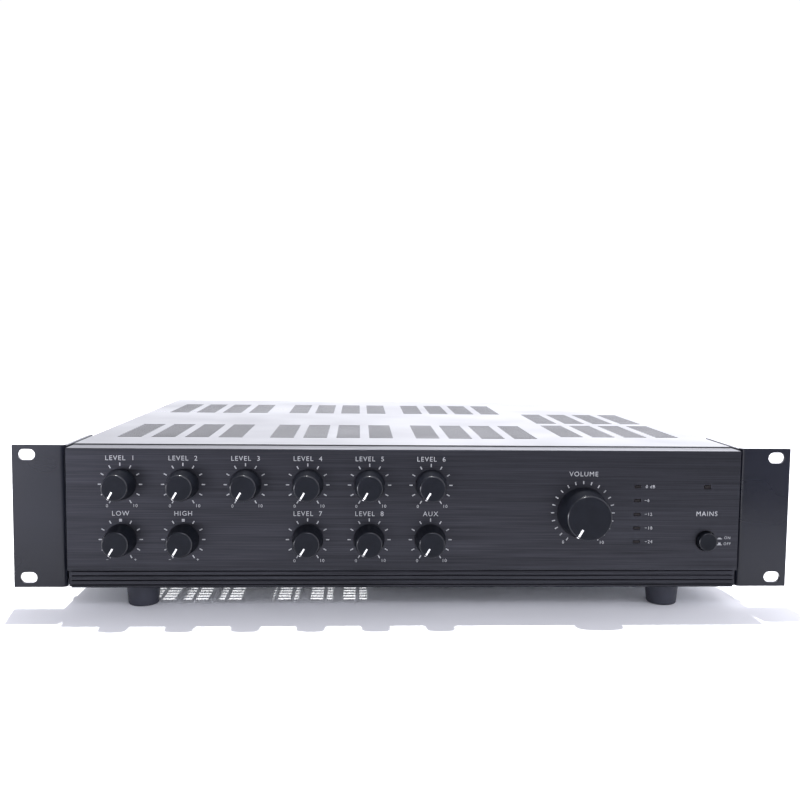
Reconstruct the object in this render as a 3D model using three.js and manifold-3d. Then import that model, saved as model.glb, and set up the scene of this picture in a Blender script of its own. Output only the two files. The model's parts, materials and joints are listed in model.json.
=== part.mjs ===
// Integrated amplifier, two rack units high, with dials: a steel case on four rubber feet, an
// extruded front panel between two bolt-on rack ears, twelve dials on their shafts, a push button
// with its switch, a level meter, and the power supply, boards and sockets that it needs.
// Millimetres. +X is right as seen from the front, +Y runs to the back, +Z is up. While the pieces
// are made, Y is counted from the front face of the ears and Z from the underside of the feet.

import * as THREE from 'three';
import { mergeVertices } from 'three/addons/utils/BufferGeometryUtils.js';
import Module from 'manifold-3d';

const wasm = await Module();
wasm.setup();

// Clearances and stock
const seatGap = 0.3;
const cutOver = 1;
const vertexSnap = 1e-4;
const sheet = 1.2;
const boardSheet = 1.6;

// Rack ears, to the two-unit rack standard
const rackSpan = 482.6;
const rackHeight = 88.1;
const rackSlotFromEnd = 8.75;
const rackSlotFromTop = 5.95;
const rackSlotLength = 10.3;
const rackSlotHeight = 6.8;
const earRise = 13;
const earSheet = 2.3;
const earBendRadius = 3;
const earReach = 32.3;
const earFlangeDepth = 60;
const earFlangeInset = 0.5;

// Case
const caseWidth = rackSpan - 2 * earReach;
const caseDepth = 350;
const caseHeight = 86.6;
const coverBendRadius = 2;
const coverHem = 0.6;
const coverFrontGap = 0.8;
const lipHeight = 12;
const flangeDepth = 14;
const flangePastScrew = 9;
const lipToFlange = 1;

// Feet
const footHeight = 14;
const footTopRadius = 10.5;
const footBaseRadius = 9.4;
const footEdge = 1.2;
const footBoreRadius = 2.2;
const footSinkRadius = 4.6;
const footSinkDepth = 8;
const footFromSide = 43.8;
const footFromFront = 11;
const footFromBack = 32;

// Front panel
const panelForward = 5;
const panelSideInset = 1.5;
const panelDrop = 0.6;
const panelWall = 3;
const panelReturn = 16.5;
const panelReturnWall = 2;
const panelChamfer = 0.5;
const grooveCount = 4;
const groovePitch = 2.85;
const grooveHeight = 1;
const grooveDepth = 3.2;
const grooveRise = 1.6;
const grooveTopMargin = 1.65;
const grooveEndInset = 2.3;

// Dials: six columns and two rows, the third place of the lower row empty, and the master
const dialColumns = 6;
const dialFromEdge = 32.4;
const dialRowRise = 30;
const dialRowDrop = 22;
const masterFromEdge = 98.7;
const masterFromLastDial = 94.9;
const restTurn = -150;
const upward = 90;
const fullTurn = 360;

// Knobs, as seen on their own: base at the panel, face towards the user
const knobPanelGap = 0.8;
const knobBaseRadius = 9.6;
const knobFaceRadius = 7.5;
const knobLength = 14.2;
const masterBaseRadius = 16;
const masterFaceRadius = 13.8;
const masterLength = 17.2;
const knobChamfer = 0.4;
const knobRim = 1.2;
const knobRecess = 2.2;
const knobFaceWall = 2;
const pointerWidth = 1;
const pointerDepth = 0.3;
const pointerStart = 3;
const masterPointerStart = 8.3;
const masterPointerWidth = 1.3;

// Potentiometers: shaft, threaded bushing and housing, soldered to their board
const shaftRadius = 3;
const shaftFlat = 1.5;
const shaftTail = 6.5;
const shaftClearance = 0.3;
const bushingRadius = 4.5;
const bushingShy = 0.6;
const bushingClearance = 0.4;
const housingWidth = 12;
const housingHeight = 14;
const housingDepth = 8;
const masterHousingGrow = 5;
const boardMargin = 10;
const boardHalfHeight = 9;

// Level meter and lamp: windows in the panel with light bars behind them
const meterFromMaster = 34.2;
const meterCount = 5;
const meterPitch = 8.7;
const meterDrop = 0.9;
const meterWindowWidth = 4.3;
const meterWindowHeight = 1.8;
const lampFromEdge = 20.4;
const lampRise = 63.4;
const lampWindowWidth = 4.5;
const lampWindowHeight = 2.5;
const windowGap = 0.3;
const lensShy = 0.2;
const barMargin = 2.6;
const barDepth = 8;

// Power button and switch
const buttonRise = 29.4;
const buttonRadius = 5.8;
const buttonClearance = 0.55;
const buttonProud = 4.5;
const buttonChamfer = 0.6;
const buttonBackFromFace = 2.5;
const buttonTravel = 3.5;
const stemRadius = 2;
const stemReach = 6;
const stemClearance = 0.4;
const switchWidth = 15;
const switchHeight = 17;
const switchDepth = 30;

// Vents of the cover: patches of slots, four columns to a group, four groups, two rows
const ventColumns = 4;
const ventWeb = 6.1;
const ventMiddleGap = 15.3;
const ventGroupGap = 18.05;
const ventSideMargin = 18.7;
const ventRearMargin = 51.7;
const ventSlot = 3.4;
const ventSlotPitch = 12.4;
const ventFrontStart = 48.5;
const ventSlots = 7;
const warmFrontStart = 60;
const warmRowGap = 22.1;
const warmSlots = 6;

// Vents of the tray: short slots in columns and rows behind the left front foot
const trayVentWidth = 8;
const trayVentSlot = 3;
const trayVentPitchX = 10.45;
const trayVentPitchY = 5.8;
const trayVentColumns = 14;
const trayVentRows = 5;
const trayVentFront = 21.6;
const trayVentFromSide = 42.9;

// Ear screws, through the ear flange, the cover and the front bracket
const screwFromFront = 35;
const screwRise = 44;
const screwPitch = 32;
const screwRadius = 2;
const screwHoleRadius = 2.4;
const screwHeadRadius = 4;
const screwHeadHeight = 2.4;
const screwTip = 3;

// Transformer: laminated core of E and I shape round a coil
const coreWidth = 96;
const coreToCover = 3.9;
const coreStack = 50;
const coreLeg = 16;
const coreToLoom = 1.8;
const coreFromFront = 140;
const coreBase = 2;
const coreBaseReach = 12;
const coilSide = 14;

// Main board with its heat sink and capacitors
const mainBoardDepth = 165;
const mainBoardFromSide = 27;
const mainBoardToCore = 43;
const mainBoardFromBack = 30;
const standoffHeight = 8;
const standoffRadius = 3.5;
const standoffInset = 8;
const sinkDepth = 46;
const sinkToCover = 14;
const sinkToCapacitor = 26.5;
const sinkBase = 6;
const sinkFin = 2.5;
const sinkFins = 12;
const sinkFromLeft = 16;
const sinkFromBack = 44;
const capacitorRadius = 17.5;
const capacitorHeight = 50;
const capacitorPitch = 45;
const capacitorFromRight = 40;
const capacitorFromFront = 42;
const capacitorEdge = 2;

// Sockets and terminals of the rear panel; the share is how much of the free room between the
// ground terminal and the speaker strip lies before the input strip
const socketRise = 30;
const inletFromSide = 44;
const inletWidth = 27;
const inletHeight = 19.5;
const inletDepth = 20;
const inletFlange = 3;
const inletFlangeThick = 2.5;
const inletWall = 1.5;
const inletCavity = 16;
const inletPinWidth = 2;
const inletPinHeight = 4;
const inletPinLength = 10;
const inletPinPitch = 7;
const fuseFromInlet = 40;
const fuseToSpeaker = 75;
const fuseRadius = 6;
const fuseFlangeRadius = 8.5;
const fuseFlange = 2;
const fuseDepth = 24;
const fuseCapRadius = 5;
const fuseCap = 8;
const stripHeight = 20;
const stripDepth = 7;
const barrierHeight = 5;
const barrierWall = 1.6;
const stripPitch = 12;
const stripScrewRadius = 3.2;
const stripScrewHeight = 2;
const tailHeight = 6;
const tailDepth = 6;
const speakerWays = 5;
const inputWays = 9;
const inputGapShare = 0.2135;
const groundFromSide = 19;
const groundPostRadius = 2.5;
const groundCapRadius = 5;
const groundCap = 8;
const groundPost = 12;
const moduleWidth = 104;
const moduleFromTop = 2.9;
const moduleAboveStrip = 11;
const moduleMargin = 5;

// Inner wiring
const loomRadius = 2.5;
const loomSides = 8;
const loomSteps = 30;
const loomFromWall = 5;
const loomLead = 18;
const loomBend = 12;
const ribbonWidth = 25;
const ribbonThick = 1;
const ribbonFromSide = 214;
const ribbonRun = 9;
const plugDepth = 5.6;
const plugHeight = 7;
const plugMargin = 1;

// How finely round shapes are cut
const knobSides = 16;
const masterSides = 24;
const shaftSides = 12;
const boreSides = 12;
const holeSides = 16;
const smallSides = 12;
const headSides = 8;
const capacitorSides = 20;
const footSides = 16;
const bendSteps = 4;

// Places that follow from the sizes
const caseHalf = caseWidth / 2;
const coverInner = caseHalf - sheet;
const lipOuter = coverInner - seatGap;
const lipInner = lipOuter - sheet;
const trayBottom = footHeight;
const trayTop = trayBottom + sheet;
const caseTop = trayBottom + caseHeight;
const coverUnder = caseTop - sheet;
const floorSeat = trayTop + seatGap;
const lipTop = trayTop + lipHeight;
const flangeFoot = lipTop + lipToFlange;
const panelFace = -panelForward;
const panelBack = panelFace + panelWall;
const panelHalf = caseHalf - panelSideInset;
const panelBottom = trayBottom;
const panelTop = caseTop - panelDrop;
const panelUnder = panelTop - panelReturnWall;
const bracketFace = seatGap;
const bracketBack = bracketFace + sheet;
const bracketTop = panelUnder - seatGap;
const innerFront = bracketBack + seatGap;
const rearBack = caseDepth;
const rearFace = rearBack - sheet;
const rearSeat = rearBack + seatGap;
const rearTop = coverUnder - seatGap;
const coverFront = panelFace + panelReturn + coverFrontGap;
const earInner = caseHalf + seatGap;
const earOuter = earInner + earSheet;
const lowerRow = panelBottom + dialRowRise;
const upperRow = panelTop - dialRowDrop;
const masterRow = (lowerRow + upperRow) / 2;
const lastColumn = dialColumns - 1;
const masterX = panelHalf - masterFromEdge;
const dialSpan = masterX - masterFromLastDial + panelHalf - dialFromEdge;
const meterX = masterX + meterFromMaster;
const meterRows = spread(masterRow - meterDrop, meterCount, meterPitch);
const lampX = panelHalf - lampFromEdge;
const lampRow = panelBottom + lampRise;
const buttonRow = panelBottom + buttonRise;
const buttonHoleRadius = buttonRadius + buttonClearance;
const knobBase = panelFace - knobPanelGap;
const socketRow = trayTop + socketRise;
const inletX = caseHalf - inletFromSide;
const fuseX = inletX - fuseFromInlet;
const speakerX = fuseX - fuseToSpeaker;
const groundX = groundFromSide - caseHalf;
const groundEdge = groundX + groundCapRadius;
const inputRoom = speakerX - stripWidth(speakerWays) / 2 - groundEdge - stripWidth(inputWays);
const inputX = groundEdge + inputRoom * inputGapShare + stripWidth(inputWays) / 2;
const moduleTop = rearTop - moduleFromTop;
const moduleFoot = socketRow + stripHeight / 2 + moduleAboveStrip;
const loomX = lipInner - loomFromWall;
const coreX = loomX - loomRadius - coreToLoom - coreWidth / 2;
const coreTop = coverUnder - coreToCover;
const mainBoardLeft = mainBoardFromSide - caseHalf;
const mainBoardRight = coreX - coreWidth / 2 - mainBoardToCore;
const mainBoardBack = rearFace - mainBoardFromBack;
const mainBoardFront = mainBoardBack - mainBoardDepth;
const mainBoardUnder = trayTop + standoffHeight + seatGap;
const mainBoardTop = mainBoardUnder + boardSheet;
const ribbonX = ribbonFromSide - caseHalf;
const screwHeights = [trayBottom + screwRise - screwPitch / 2, trayBottom + screwRise + screwPitch / 2];

// Upper row of dials, then the lower row with its gap
const dials = [
  ...[0, 1, 2, 3, 4, 5].map((column) => ({ name: `level_${column + 1}`, column, row: upperRow })),
  { name: 'low_tone', column: 0, row: lowerRow },
  { name: 'high_tone', column: 1, row: lowerRow },
  { name: 'level_7', column: 3, row: lowerRow },
  { name: 'level_8', column: 4, row: lowerRow },
  { name: 'module', column: lastColumn, row: lowerRow },
].map((dial) => ({ ...dial, x: columnX(dial.column) }));
const master = { name: 'master', x: masterX, row: masterRow };
const axes = [...dials, master];

// Colours and surfaces
const finishes = {
  panel: { color: 0x4a4f57, roughness: 0.38, metalness: 0.7 },
  cover: { color: 0x2c2e32, roughness: 0.5, metalness: 0.3 },
  ear: { color: 0x34383f, roughness: 0.45, metalness: 0.4 },
  zinc: { color: 0x9a9fa3, roughness: 0.45, metalness: 0.9 },
  knob: { color: 0x3f434b, roughness: 0.5, metalness: 0.1 },
  rubber: { color: 0x2f3036, roughness: 0.8, metalness: 0 },
  shaft: { color: 0xb5b7b9, roughness: 0.35, metalness: 1 },
  board: { color: 0x2f5f35, roughness: 0.6, metalness: 0 },
  black: { color: 0x1b1b1d, roughness: 0.55, metalness: 0 },
  lens: { color: 0x2a2224, roughness: 0.2, metalness: 0 },
  core: { color: 0x55575a, roughness: 0.6, metalness: 0.6 },
  coil: { color: 0xc9a43a, roughness: 0.5, metalness: 0 },
  aluminium: { color: 0xa9acb0, roughness: 0.5, metalness: 0.9 },
  sleeve: { color: 0x1f2a44, roughness: 0.35, metalness: 0 },
  wire: { color: 0x8d8f92, roughness: 0.6, metalness: 0 },
};

const amplifier = new THREE.Group();

// Centre of a column of dials
function columnX(column) {
  return dialFromEdge - panelHalf + (column * dialSpan) / lastColumn;
}

// Six times the volume inside a closed surface, negative where its faces point in
function signedVolume(points, corners) {
  const [a, b, c] = [new THREE.Vector3(), new THREE.Vector3(), new THREE.Vector3()];
  let total = 0;
  for (let i = 0; i < corners.length; i += 3) {
    a.fromArray(points, 3 * corners[i]);
    b.fromArray(points, 3 * corners[i + 1]);
    c.fromArray(points, 3 * corners[i + 2]);
    total += a.dot(b.cross(c));
  }
  return total;
}

// Places at one pitch, with their middle where it is asked for
function spread(middle, count, pitch) {
  return Array.from({ length: count }, (_, i) => middle + (i - (count - 1) / 2) * pitch);
}

// A closed geometry as a solid, with its faces turned out
function solidOf(geometry) {
  const bare = new THREE.BufferGeometry();
  bare.setAttribute('position', geometry.getAttribute('position'));
  bare.setIndex(geometry.getIndex());
  const merged = mergeVertices(bare, vertexSnap);
  const points = merged.getAttribute('position').array;
  const index = merged.getIndex();
  const corners = [];
  for (let i = 0; i < index.count; i += 3) {
    const [a, b, c] = [index.getX(i), index.getX(i + 1), index.getX(i + 2)];
    if (a !== b && b !== c && c !== a) corners.push(a, b, c);
  }
  if (signedVolume(points, corners) < 0) corners.reverse();
  const triVerts = new Uint32Array(corners);
  const vertProperties = new Float32Array(points);
  return new wasm.Manifold(new wasm.Mesh({ numProp: 3, vertProperties, triVerts }));
}

// Box between two places along each axis, given in any order
function block({ x, y, z }) {
  const low = [x, y, z].map((pair) => Math.min(...pair));
  const high = [x, y, z].map((pair) => Math.max(...pair));
  const size = high.map((value, i) => value - low[i]);
  const middle = high.map((value, i) => (value + low[i]) / 2);
  return solidOf(new THREE.BoxGeometry(...size).translate(...middle));
}

// Outline drawn across an axis, in the order X, Y, Z, and drawn out along it
function prism(outline, axis, from, to) {
  const shape = new THREE.Shape(outline.map(([u, v]) => new THREE.Vector2(u, v)));
  const geometry = new THREE.ExtrudeGeometry(shape, { depth: to - from, bevelEnabled: false });
  const [x, y, z] = [[1, 0, 0], [0, 1, 0], [0, 0, 1]].map((unit) => new THREE.Vector3(...unit));
  const turn = new THREE.Matrix4();
  if (axis === 'x') turn.makeBasis(y, z, x).setPosition(from, 0, 0);
  if (axis === 'y') turn.makeBasis(x, z, y.negate()).setPosition(0, to, 0);
  if (axis === 'z') turn.makeBasis(x, y, z).setPosition(0, 0, from);
  return solidOf(geometry.applyMatrix4(turn));
}

// Points on an arc, both ends included, angles in degrees
function arc([u, v], radius, from, to, steps) {
  return Array.from({ length: steps + 1 }, (_, i) => {
    const angle = THREE.MathUtils.degToRad(from + ((to - from) * i) / steps);
    return [u + radius * Math.cos(angle), v + radius * Math.sin(angle)];
  });
}

// Round bar along an axis, its corners on the radius
function rod(axis, centre, radius, from, to, sides) {
  return prism(arc(centre, radius, 0, fullTurn, sides).slice(1), axis, from, to);
}

// Cutter for a round hole, its flats on the radius so that a bar of that radius passes
function drill(axis, centre, radius, from, to, sides = holeSides) {
  return rod(axis, centre, radius / Math.cos(Math.PI / sides), from, to, sides);
}

// Solid turned about the Y axis from points of radius and place
function turned(profile, sides) {
  return solidOf(new THREE.LatheGeometry(profile.map(([r, y]) => new THREE.Vector2(r, y)), sides));
}

// The same, standing along the Z axis
function turnedUpright(profile, sides) {
  const points = profile.map(([r, z]) => new THREE.Vector2(r, z));
  return solidOf(new THREE.LatheGeometry(points, sides).rotateX(Math.PI / 2));
}

function join(solids) {
  return solids.reduce((whole, solid) => whole.add(solid));
}

function cut(solid, cutters) {
  return solid.subtract(join(cutters));
}

// Adds a solid to the amplifier as a named mesh
function place(name, solid, finish, at = [0, 0, 0], turn = 0) {
  const { vertProperties, triVerts } = solid.getMesh();
  const geometry = new THREE.BufferGeometry();
  geometry.setAttribute('position', new THREE.BufferAttribute(new Float32Array(vertProperties), 3));
  geometry.setIndex(new THREE.BufferAttribute(new Uint32Array(triVerts), 1));
  const material = new THREE.MeshStandardMaterial({ ...finishes[finish], flatShading: true });
  const mesh = new THREE.Mesh(geometry, material);
  mesh.name = name;
  mesh.position.set(...at);
  mesh.rotation.y = THREE.MathUtils.degToRad(turn);
  amplifier.add(mesh);
}

// Front panel: an extrusion with a top return and four grooves along its foot
function panelOutline() {
  const grooves = Array.from({ length: grooveCount }, (_, i) => panelBottom + grooveRise + i * groovePitch);
  const grooveFloor = panelFace + grooveDepth;
  const thickTop = grooves.at(-1) + grooveHeight / 2 + grooveTopMargin;
  return [
    [0, panelBottom],
    [0, thickTop],
    [panelBack, thickTop],
    [panelBack, panelUnder],
    [panelFace + panelReturn, panelUnder],
    [panelFace + panelReturn, panelTop],
    [panelFace + panelChamfer, panelTop],
    [panelFace, panelTop - panelChamfer],
    ...grooves.reverse().flatMap((rise) => [
      [panelFace, rise + grooveHeight / 2],
      [grooveFloor, rise + grooveHeight / 2],
      [grooveFloor, rise - grooveHeight / 2],
      [panelFace, rise - grooveHeight / 2],
    ]),
    [panelFace, panelBottom + panelChamfer],
    [panelFace + panelChamfer, panelBottom],
  ];
}

function windowCutters(grow, from, to) {
  const meter = meterRows.map((row) => [meterX, row, meterWindowWidth, meterWindowHeight]);
  const lamp = [lampX, lampRow, lampWindowWidth, lampWindowHeight];
  return [...meter, lamp].map(([x, row, width, height]) => block({
    x: [x - width / 2 - grow, x + width / 2 + grow],
    y: [from, to],
    z: [row - height / 2 - grow, row + height / 2 + grow],
  }));
}

function makeFrontPanel() {
  const [from, to] = [panelFace - cutOver, panelBack + cutOver];
  const radius = bushingRadius + bushingClearance;
  const bushings = axes.map((dial) => drill('y', [dial.x, dial.row], radius, from, to));
  const button = drill('y', [lampX, buttonRow], buttonHoleRadius, from, to, masterSides);
  const topGroove = panelBottom + grooveRise + (grooveCount - 1) * groovePitch + grooveHeight / 2;
  const ends = [-1, 1].map((side) => block({
    x: [side * (panelHalf - grooveEndInset), side * (panelHalf + cutOver)],
    y: [panelFace - cutOver, panelFace + grooveDepth],
    z: [panelBottom - cutOver, topGroove],
  }));
  const blank = prism(panelOutline(), 'x', -panelHalf, panelHalf);
  const cutters = [...bushings, button, ...windowCutters(0, from, to), ...ends];
  place('front_panel', cut(blank, cutters), 'panel');
}

// Front bracket: the steel plate behind the panel, bent back at the top, the foot and the sides
function makeFrontBracket() {
  const sides = [-1, 1].map((side) => block({
    x: [side * lipInner, side * lipOuter],
    y: [bracketFace, bracketFace + screwFromFront + flangePastScrew],
    z: [flangeFoot, bracketTop],
  }));
  const y = [bracketFace, bracketFace + flangeDepth];
  const foot = lipInner - seatGap;
  const blank = join([
    block({ x: [-lipOuter, lipOuter], y: [bracketFace, bracketBack], z: [floorSeat, bracketTop] }),
    block({ x: [-lipOuter, lipOuter], y, z: [bracketTop - sheet, bracketTop] }),
    block({ x: [-foot, foot], y, z: [floorSeat, floorSeat + sheet] }),
    ...sides,
  ]);
  const [from, to] = [bracketFace - cutOver, bracketBack + cutOver];
  const bushings = axes.map((dial) => (
    drill('y', [dial.x, dial.row], bushingRadius + seatGap, from, to, smallSides)
  ));
  const button = drill('y', [lampX, buttonRow], buttonHoleRadius, from, to, masterSides);
  const windows = windowCutters(windowGap, from, to);
  const screws = screwHoles(lipInner, lipOuter);
  place('front_bracket', cut(blank, [...bushings, button, ...windows, ...screws]), 'zinc');
}

// Cutters for the ear screws, through the sheets between two distances from the middle
function screwHoles(inner, outer) {
  return [-1, 1].flatMap((side) => screwHeights.map((height) => {
    const [from, to] = [side * (inner - cutOver), side * (outer + cutOver)].sort((a, b) => a - b);
    return drill('x', [screwFromFront, height], screwHoleRadius, from, to, smallSides);
  }));
}

// Chassis tray: floor with side lips, board standoffs, foot screw holes and vents
function makeTray() {
  const lips = [-1, 1].map((side) => block({
    x: [side * lipInner, side * lipOuter],
    y: [innerFront, rearFace - seatGap],
    z: [trayBottom, lipTop],
  }));
  const floor = block({ x: [-lipOuter, lipOuter], y: [bracketFace, rearBack], z: [trayBottom, trayTop] });
  const standoffs = boardCorners().map((corner) => (
    rod('z', corner, standoffRadius, trayBottom, mainBoardUnder - seatGap, smallSides)
  ));
  const holes = footPlaces().map(([x, y]) => (
    drill('z', [x, y], footBoreRadius, trayBottom - cutOver, trayTop + cutOver, smallSides)
  ));
  place('chassis_tray', cut(join([floor, ...lips, ...standoffs]), [...holes, ...trayVents()]), 'zinc');
}

function trayVents() {
  return Array.from({ length: trayVentColumns * trayVentRows }, (_, i) => {
    const left = trayVentFromSide - caseHalf + (i % trayVentColumns) * trayVentPitchX;
    const front = trayVentFront + Math.floor(i / trayVentColumns) * trayVentPitchY;
    return block({
      x: [left, left + trayVentWidth],
      y: [front, front + trayVentSlot],
      z: [trayBottom - cutOver, trayTop + cutOver],
    });
  });
}

// Top cover: one sheet bent down over both sides, with the vent patches
function coverOutline() {
  const foot = trayBottom + coverHem;
  const outerCentre = [caseHalf - coverBendRadius, caseTop - coverBendRadius];
  const outer = arc(outerCentre, coverBendRadius, 0, 90, bendSteps);
  const innerRadius = coverBendRadius - sheet;
  const innerCentre = [coverInner - innerRadius, coverUnder - innerRadius];
  const inner = arc(innerCentre, innerRadius, 90, 0, bendSteps);
  const right = [[caseHalf, foot], ...outer];
  const under = [...inner, [coverInner, foot]];
  const mirrored = (points) => points.map(([x, z]) => [-x, z]).reverse();
  return [...right, ...mirrored(right), ...mirrored(under), ...under];
}

function coverVents() {
  const groupWidth = (caseHalf - ventMiddleGap / 2 - ventGroupGap - ventSideMargin) / 2;
  const firsts = [0, 1].map((i) => ventMiddleGap / 2 + i * (groupWidth + ventGroupGap));
  const ventWidth = (groupWidth - (ventColumns - 1) * ventWeb) / ventColumns;
  const run = (slots) => (slots - 1) * ventSlotPitch + ventSlot;
  const ventRearStart = rearBack - ventRearMargin - run(ventSlots);
  const warmRearStart = warmFrontStart + run(warmSlots) + warmRowGap;
  const plain = [[ventFrontStart, ventSlots], [ventRearStart, ventSlots]];
  const warm = [[warmFrontStart, warmSlots], [warmRearStart, warmSlots]];
  const groups = [
    { left: -firsts[1] - groupWidth, rows: plain },
    { left: -firsts[0] - groupWidth, rows: plain },
    { left: firsts[0], rows: plain },
    { left: firsts[1], rows: warm },
  ];
  return groups.flatMap(({ left, rows }) => rows.flatMap(([start, slots]) => (
    Array.from({ length: ventColumns * slots }, (_, i) => {
      const x = left + (i % ventColumns) * (ventWidth + ventWeb);
      const y = start + Math.floor(i / ventColumns) * ventSlotPitch;
      const z = [coverUnder - cutOver, caseTop + cutOver];
      return block({ x: [x, x + ventWidth], y: [y, y + ventSlot], z });
    })
  )));
}

function makeCover() {
  const blank = prism(coverOutline(), 'y', coverFront, rearBack);
  place('top_cover', cut(blank, [...coverVents(), ...screwHoles(coverInner, caseHalf)]), 'cover');
}

// Rack ear: a bent plate with two slots in its front and a flange back along the case
function makeEar(side, name) {
  const innerRadius = earBendRadius - earSheet;
  const outline = [
    [rackSpan / 2, 0],
    [rackSpan / 2, earSheet],
    ...arc([earOuter + innerRadius, earSheet + innerRadius], innerRadius, 270, 180, bendSteps),
    [earOuter, earFlangeDepth],
    [earInner, earFlangeDepth],
    ...arc([earInner + earBendRadius, earBendRadius], earBendRadius, 180, 270, bendSteps),
  ].map(([x, y]) => [side * x, y]);
  const middle = earRise + rackHeight / 2;
  const slotMiddle = (rackSlotLength - rackSlotHeight) / 2;
  const slots = [-1, 1].map((end) => {
    const x = side * (rackSpan / 2 - rackSlotFromEnd);
    const z = middle + end * (rackHeight / 2 - rackSlotFromTop);
    const round = [
      ...arc([x + slotMiddle, z], rackSlotHeight / 2, -90, 90, holeSides / 2),
      ...arc([x - slotMiddle, z], rackSlotHeight / 2, 90, 270, holeSides / 2),
    ];
    return prism(round, 'y', -cutOver, earSheet + cutOver);
  });
  const trims = [-1, 1].map((end) => block({
    x: [side * (earInner - cutOver), side * (earOuter + cutOver)],
    y: [earBendRadius + earFlangeInset, earFlangeDepth + cutOver],
    z: [middle + end * (rackHeight / 2 - earFlangeInset), middle + end * (rackHeight / 2 + cutOver)],
  }));
  const blank = prism(outline, 'z', earRise, earRise + rackHeight);
  place(name, cut(blank, [...slots, ...trims, ...screwHoles(earInner, earOuter)]), 'ear');
}

function makeEarScrews() {
  const head = earOuter + seatGap;
  const tip = lipInner - screwTip;
  for (const [side, sideName] of [[-1, 'left'], [1, 'right']]) {
    screwHeights.forEach((height, i) => {
      const centre = [screwFromFront, height];
      const ends = [side * head, side * (head + screwHeadHeight)].sort((a, b) => a - b);
      const shank = [side * tip, side * head].sort((a, b) => a - b);
      const screw = join([
        rod('x', centre, screwHeadRadius, ...ends, smallSides),
        rod('x', centre, screwRadius, ...shank, smallSides),
      ]);
      place(`ear_screw_${sideName}_${i + 1}`, screw, 'shaft');
    });
  }
}

// Feet: tapered rubber rings with a sunk bore for the screw
function footPlaces() {
  const x = caseHalf - footFromSide;
  return [footFromFront, rearBack - footFromBack].flatMap((y) => [[-x, y], [x, y]]);
}

function makeFeet() {
  const top = footHeight - seatGap;
  const names = ['foot_front_left', 'foot_front_right', 'foot_back_left', 'foot_back_right'];
  const profile = [
    [footBoreRadius, top],
    [footTopRadius, top],
    [footBaseRadius, footEdge],
    [footBaseRadius - footEdge, 0],
    [footSinkRadius, 0],
    [footSinkRadius, footSinkDepth],
    [footBoreRadius, footSinkDepth],
    [footBoreRadius, top],
  ];
  const foot = turnedUpright(profile, footSides);
  footPlaces().forEach(([x, y], i) => place(names[i], foot, 'rubber', [x, y, 0]));
}

// Outline of a shaft with a flat on its upper side, or of the bore that takes it
function shaftOutline(clearance, sides) {
  const radius = shaftRadius + clearance;
  const flat = shaftFlat + clearance;
  const half = THREE.MathUtils.radToDeg(Math.acos(flat / radius));
  return arc([0, 0], radius, upward + half, upward + fullTurn - half, sides);
}

// Knob drawn with its pointer up: a cone with a recess and a flatted bore at its back
function knobSolid({ base, face, length, sides, start, width }) {
  const front = knobBase - length;
  const recess = knobBase - knobRecess;
  const body = turned([
    [0, front],
    [face - knobChamfer, front],
    [face, front + knobChamfer],
    [base, knobBase],
    [base - knobRim, knobBase],
    [base - knobRim, recess],
    [0, recess],
  ], sides);
  const bore = prism(shaftOutline(shaftClearance, boreSides), 'y', front + knobFaceWall, recess + cutOver);
  const pointer = block({
    x: [-width / 2, width / 2],
    y: [front - cutOver, front + pointerDepth],
    z: [start, base],
  });
  return cut(body, [bore, pointer]);
}

function makeDials() {
  const small = {
    base: knobBaseRadius,
    face: knobFaceRadius,
    length: knobLength,
    sides: knobSides,
    start: pointerStart,
    width: pointerWidth,
  };
  const large = {
    base: masterBaseRadius,
    face: masterFaceRadius,
    length: masterLength,
    sides: masterSides,
    start: masterPointerStart,
    width: masterPointerWidth,
  };
  for (const dial of axes) {
    const kind = dial === master ? large : small;
    const tip = knobBase - kind.length + knobFaceWall + seatGap;
    const at = [dial.x, 0, dial.row];
    place(`${dial.name}_knob`, knobSolid(kind), 'knob', at, restTurn);
    const shaft = prism(shaftOutline(0, shaftSides), 'y', tip, innerFront + shaftTail);
    place(`${dial.name}_shaft`, shaft, 'shaft', at, restTurn);
  }
}

// Control board: the potentiometers' housings and bushings on their upright board
function controlBoard(places, grow) {
  const back = innerFront + housingDepth;
  const row = places[0].row;
  const xs = places.map((dial) => dial.x);
  const reach = boardMargin + grow;
  const board = block({
    x: [Math.min(...xs) - reach, Math.max(...xs) + reach],
    y: [back, back + boardSheet],
    z: [row - boardHalfHeight - grow, row + boardHalfHeight + grow],
  });
  const housings = xs.map((x) => block({
    x: [x - (housingWidth + grow) / 2, x + (housingWidth + grow) / 2],
    y: [innerFront, back],
    z: [row - (housingHeight + grow) / 2, row + (housingHeight + grow) / 2],
  }));
  const bushings = xs.map((x) => (
    rod('y', [x, row], bushingRadius, panelFace + bushingShy, innerFront, boreSides)
  ));
  const [from, to] = [panelFace - cutOver, back + boardSheet + cutOver];
  const bores = xs.map((x) => drill('y', [x, row], shaftRadius + shaftClearance, from, to, boreSides));
  return { solid: join([board, ...housings, ...bushings]), bores, back: back + boardSheet, row };
}

function makeControlBoards() {
  const upper = controlBoard(dials.filter((dial) => dial.row === upperRow), 0);
  const lower = controlBoard(dials.filter((dial) => dial.row === lowerRow), 0);
  const main = controlBoard([master], masterHousingGrow);
  const plug = block({
    x: [ribbonX - ribbonWidth / 2 - plugMargin, ribbonX + ribbonWidth / 2 + plugMargin],
    y: [lower.back, lower.back + plugDepth],
    z: [lower.row - plugHeight / 2, lower.row + plugHeight / 2],
  });
  place('upper_control_board', cut(upper.solid, upper.bores), 'board');
  place('lower_control_board', cut(lower.solid.add(plug), lower.bores), 'board');
  place('master_control_board', cut(main.solid, main.bores), 'board');
}

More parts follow.
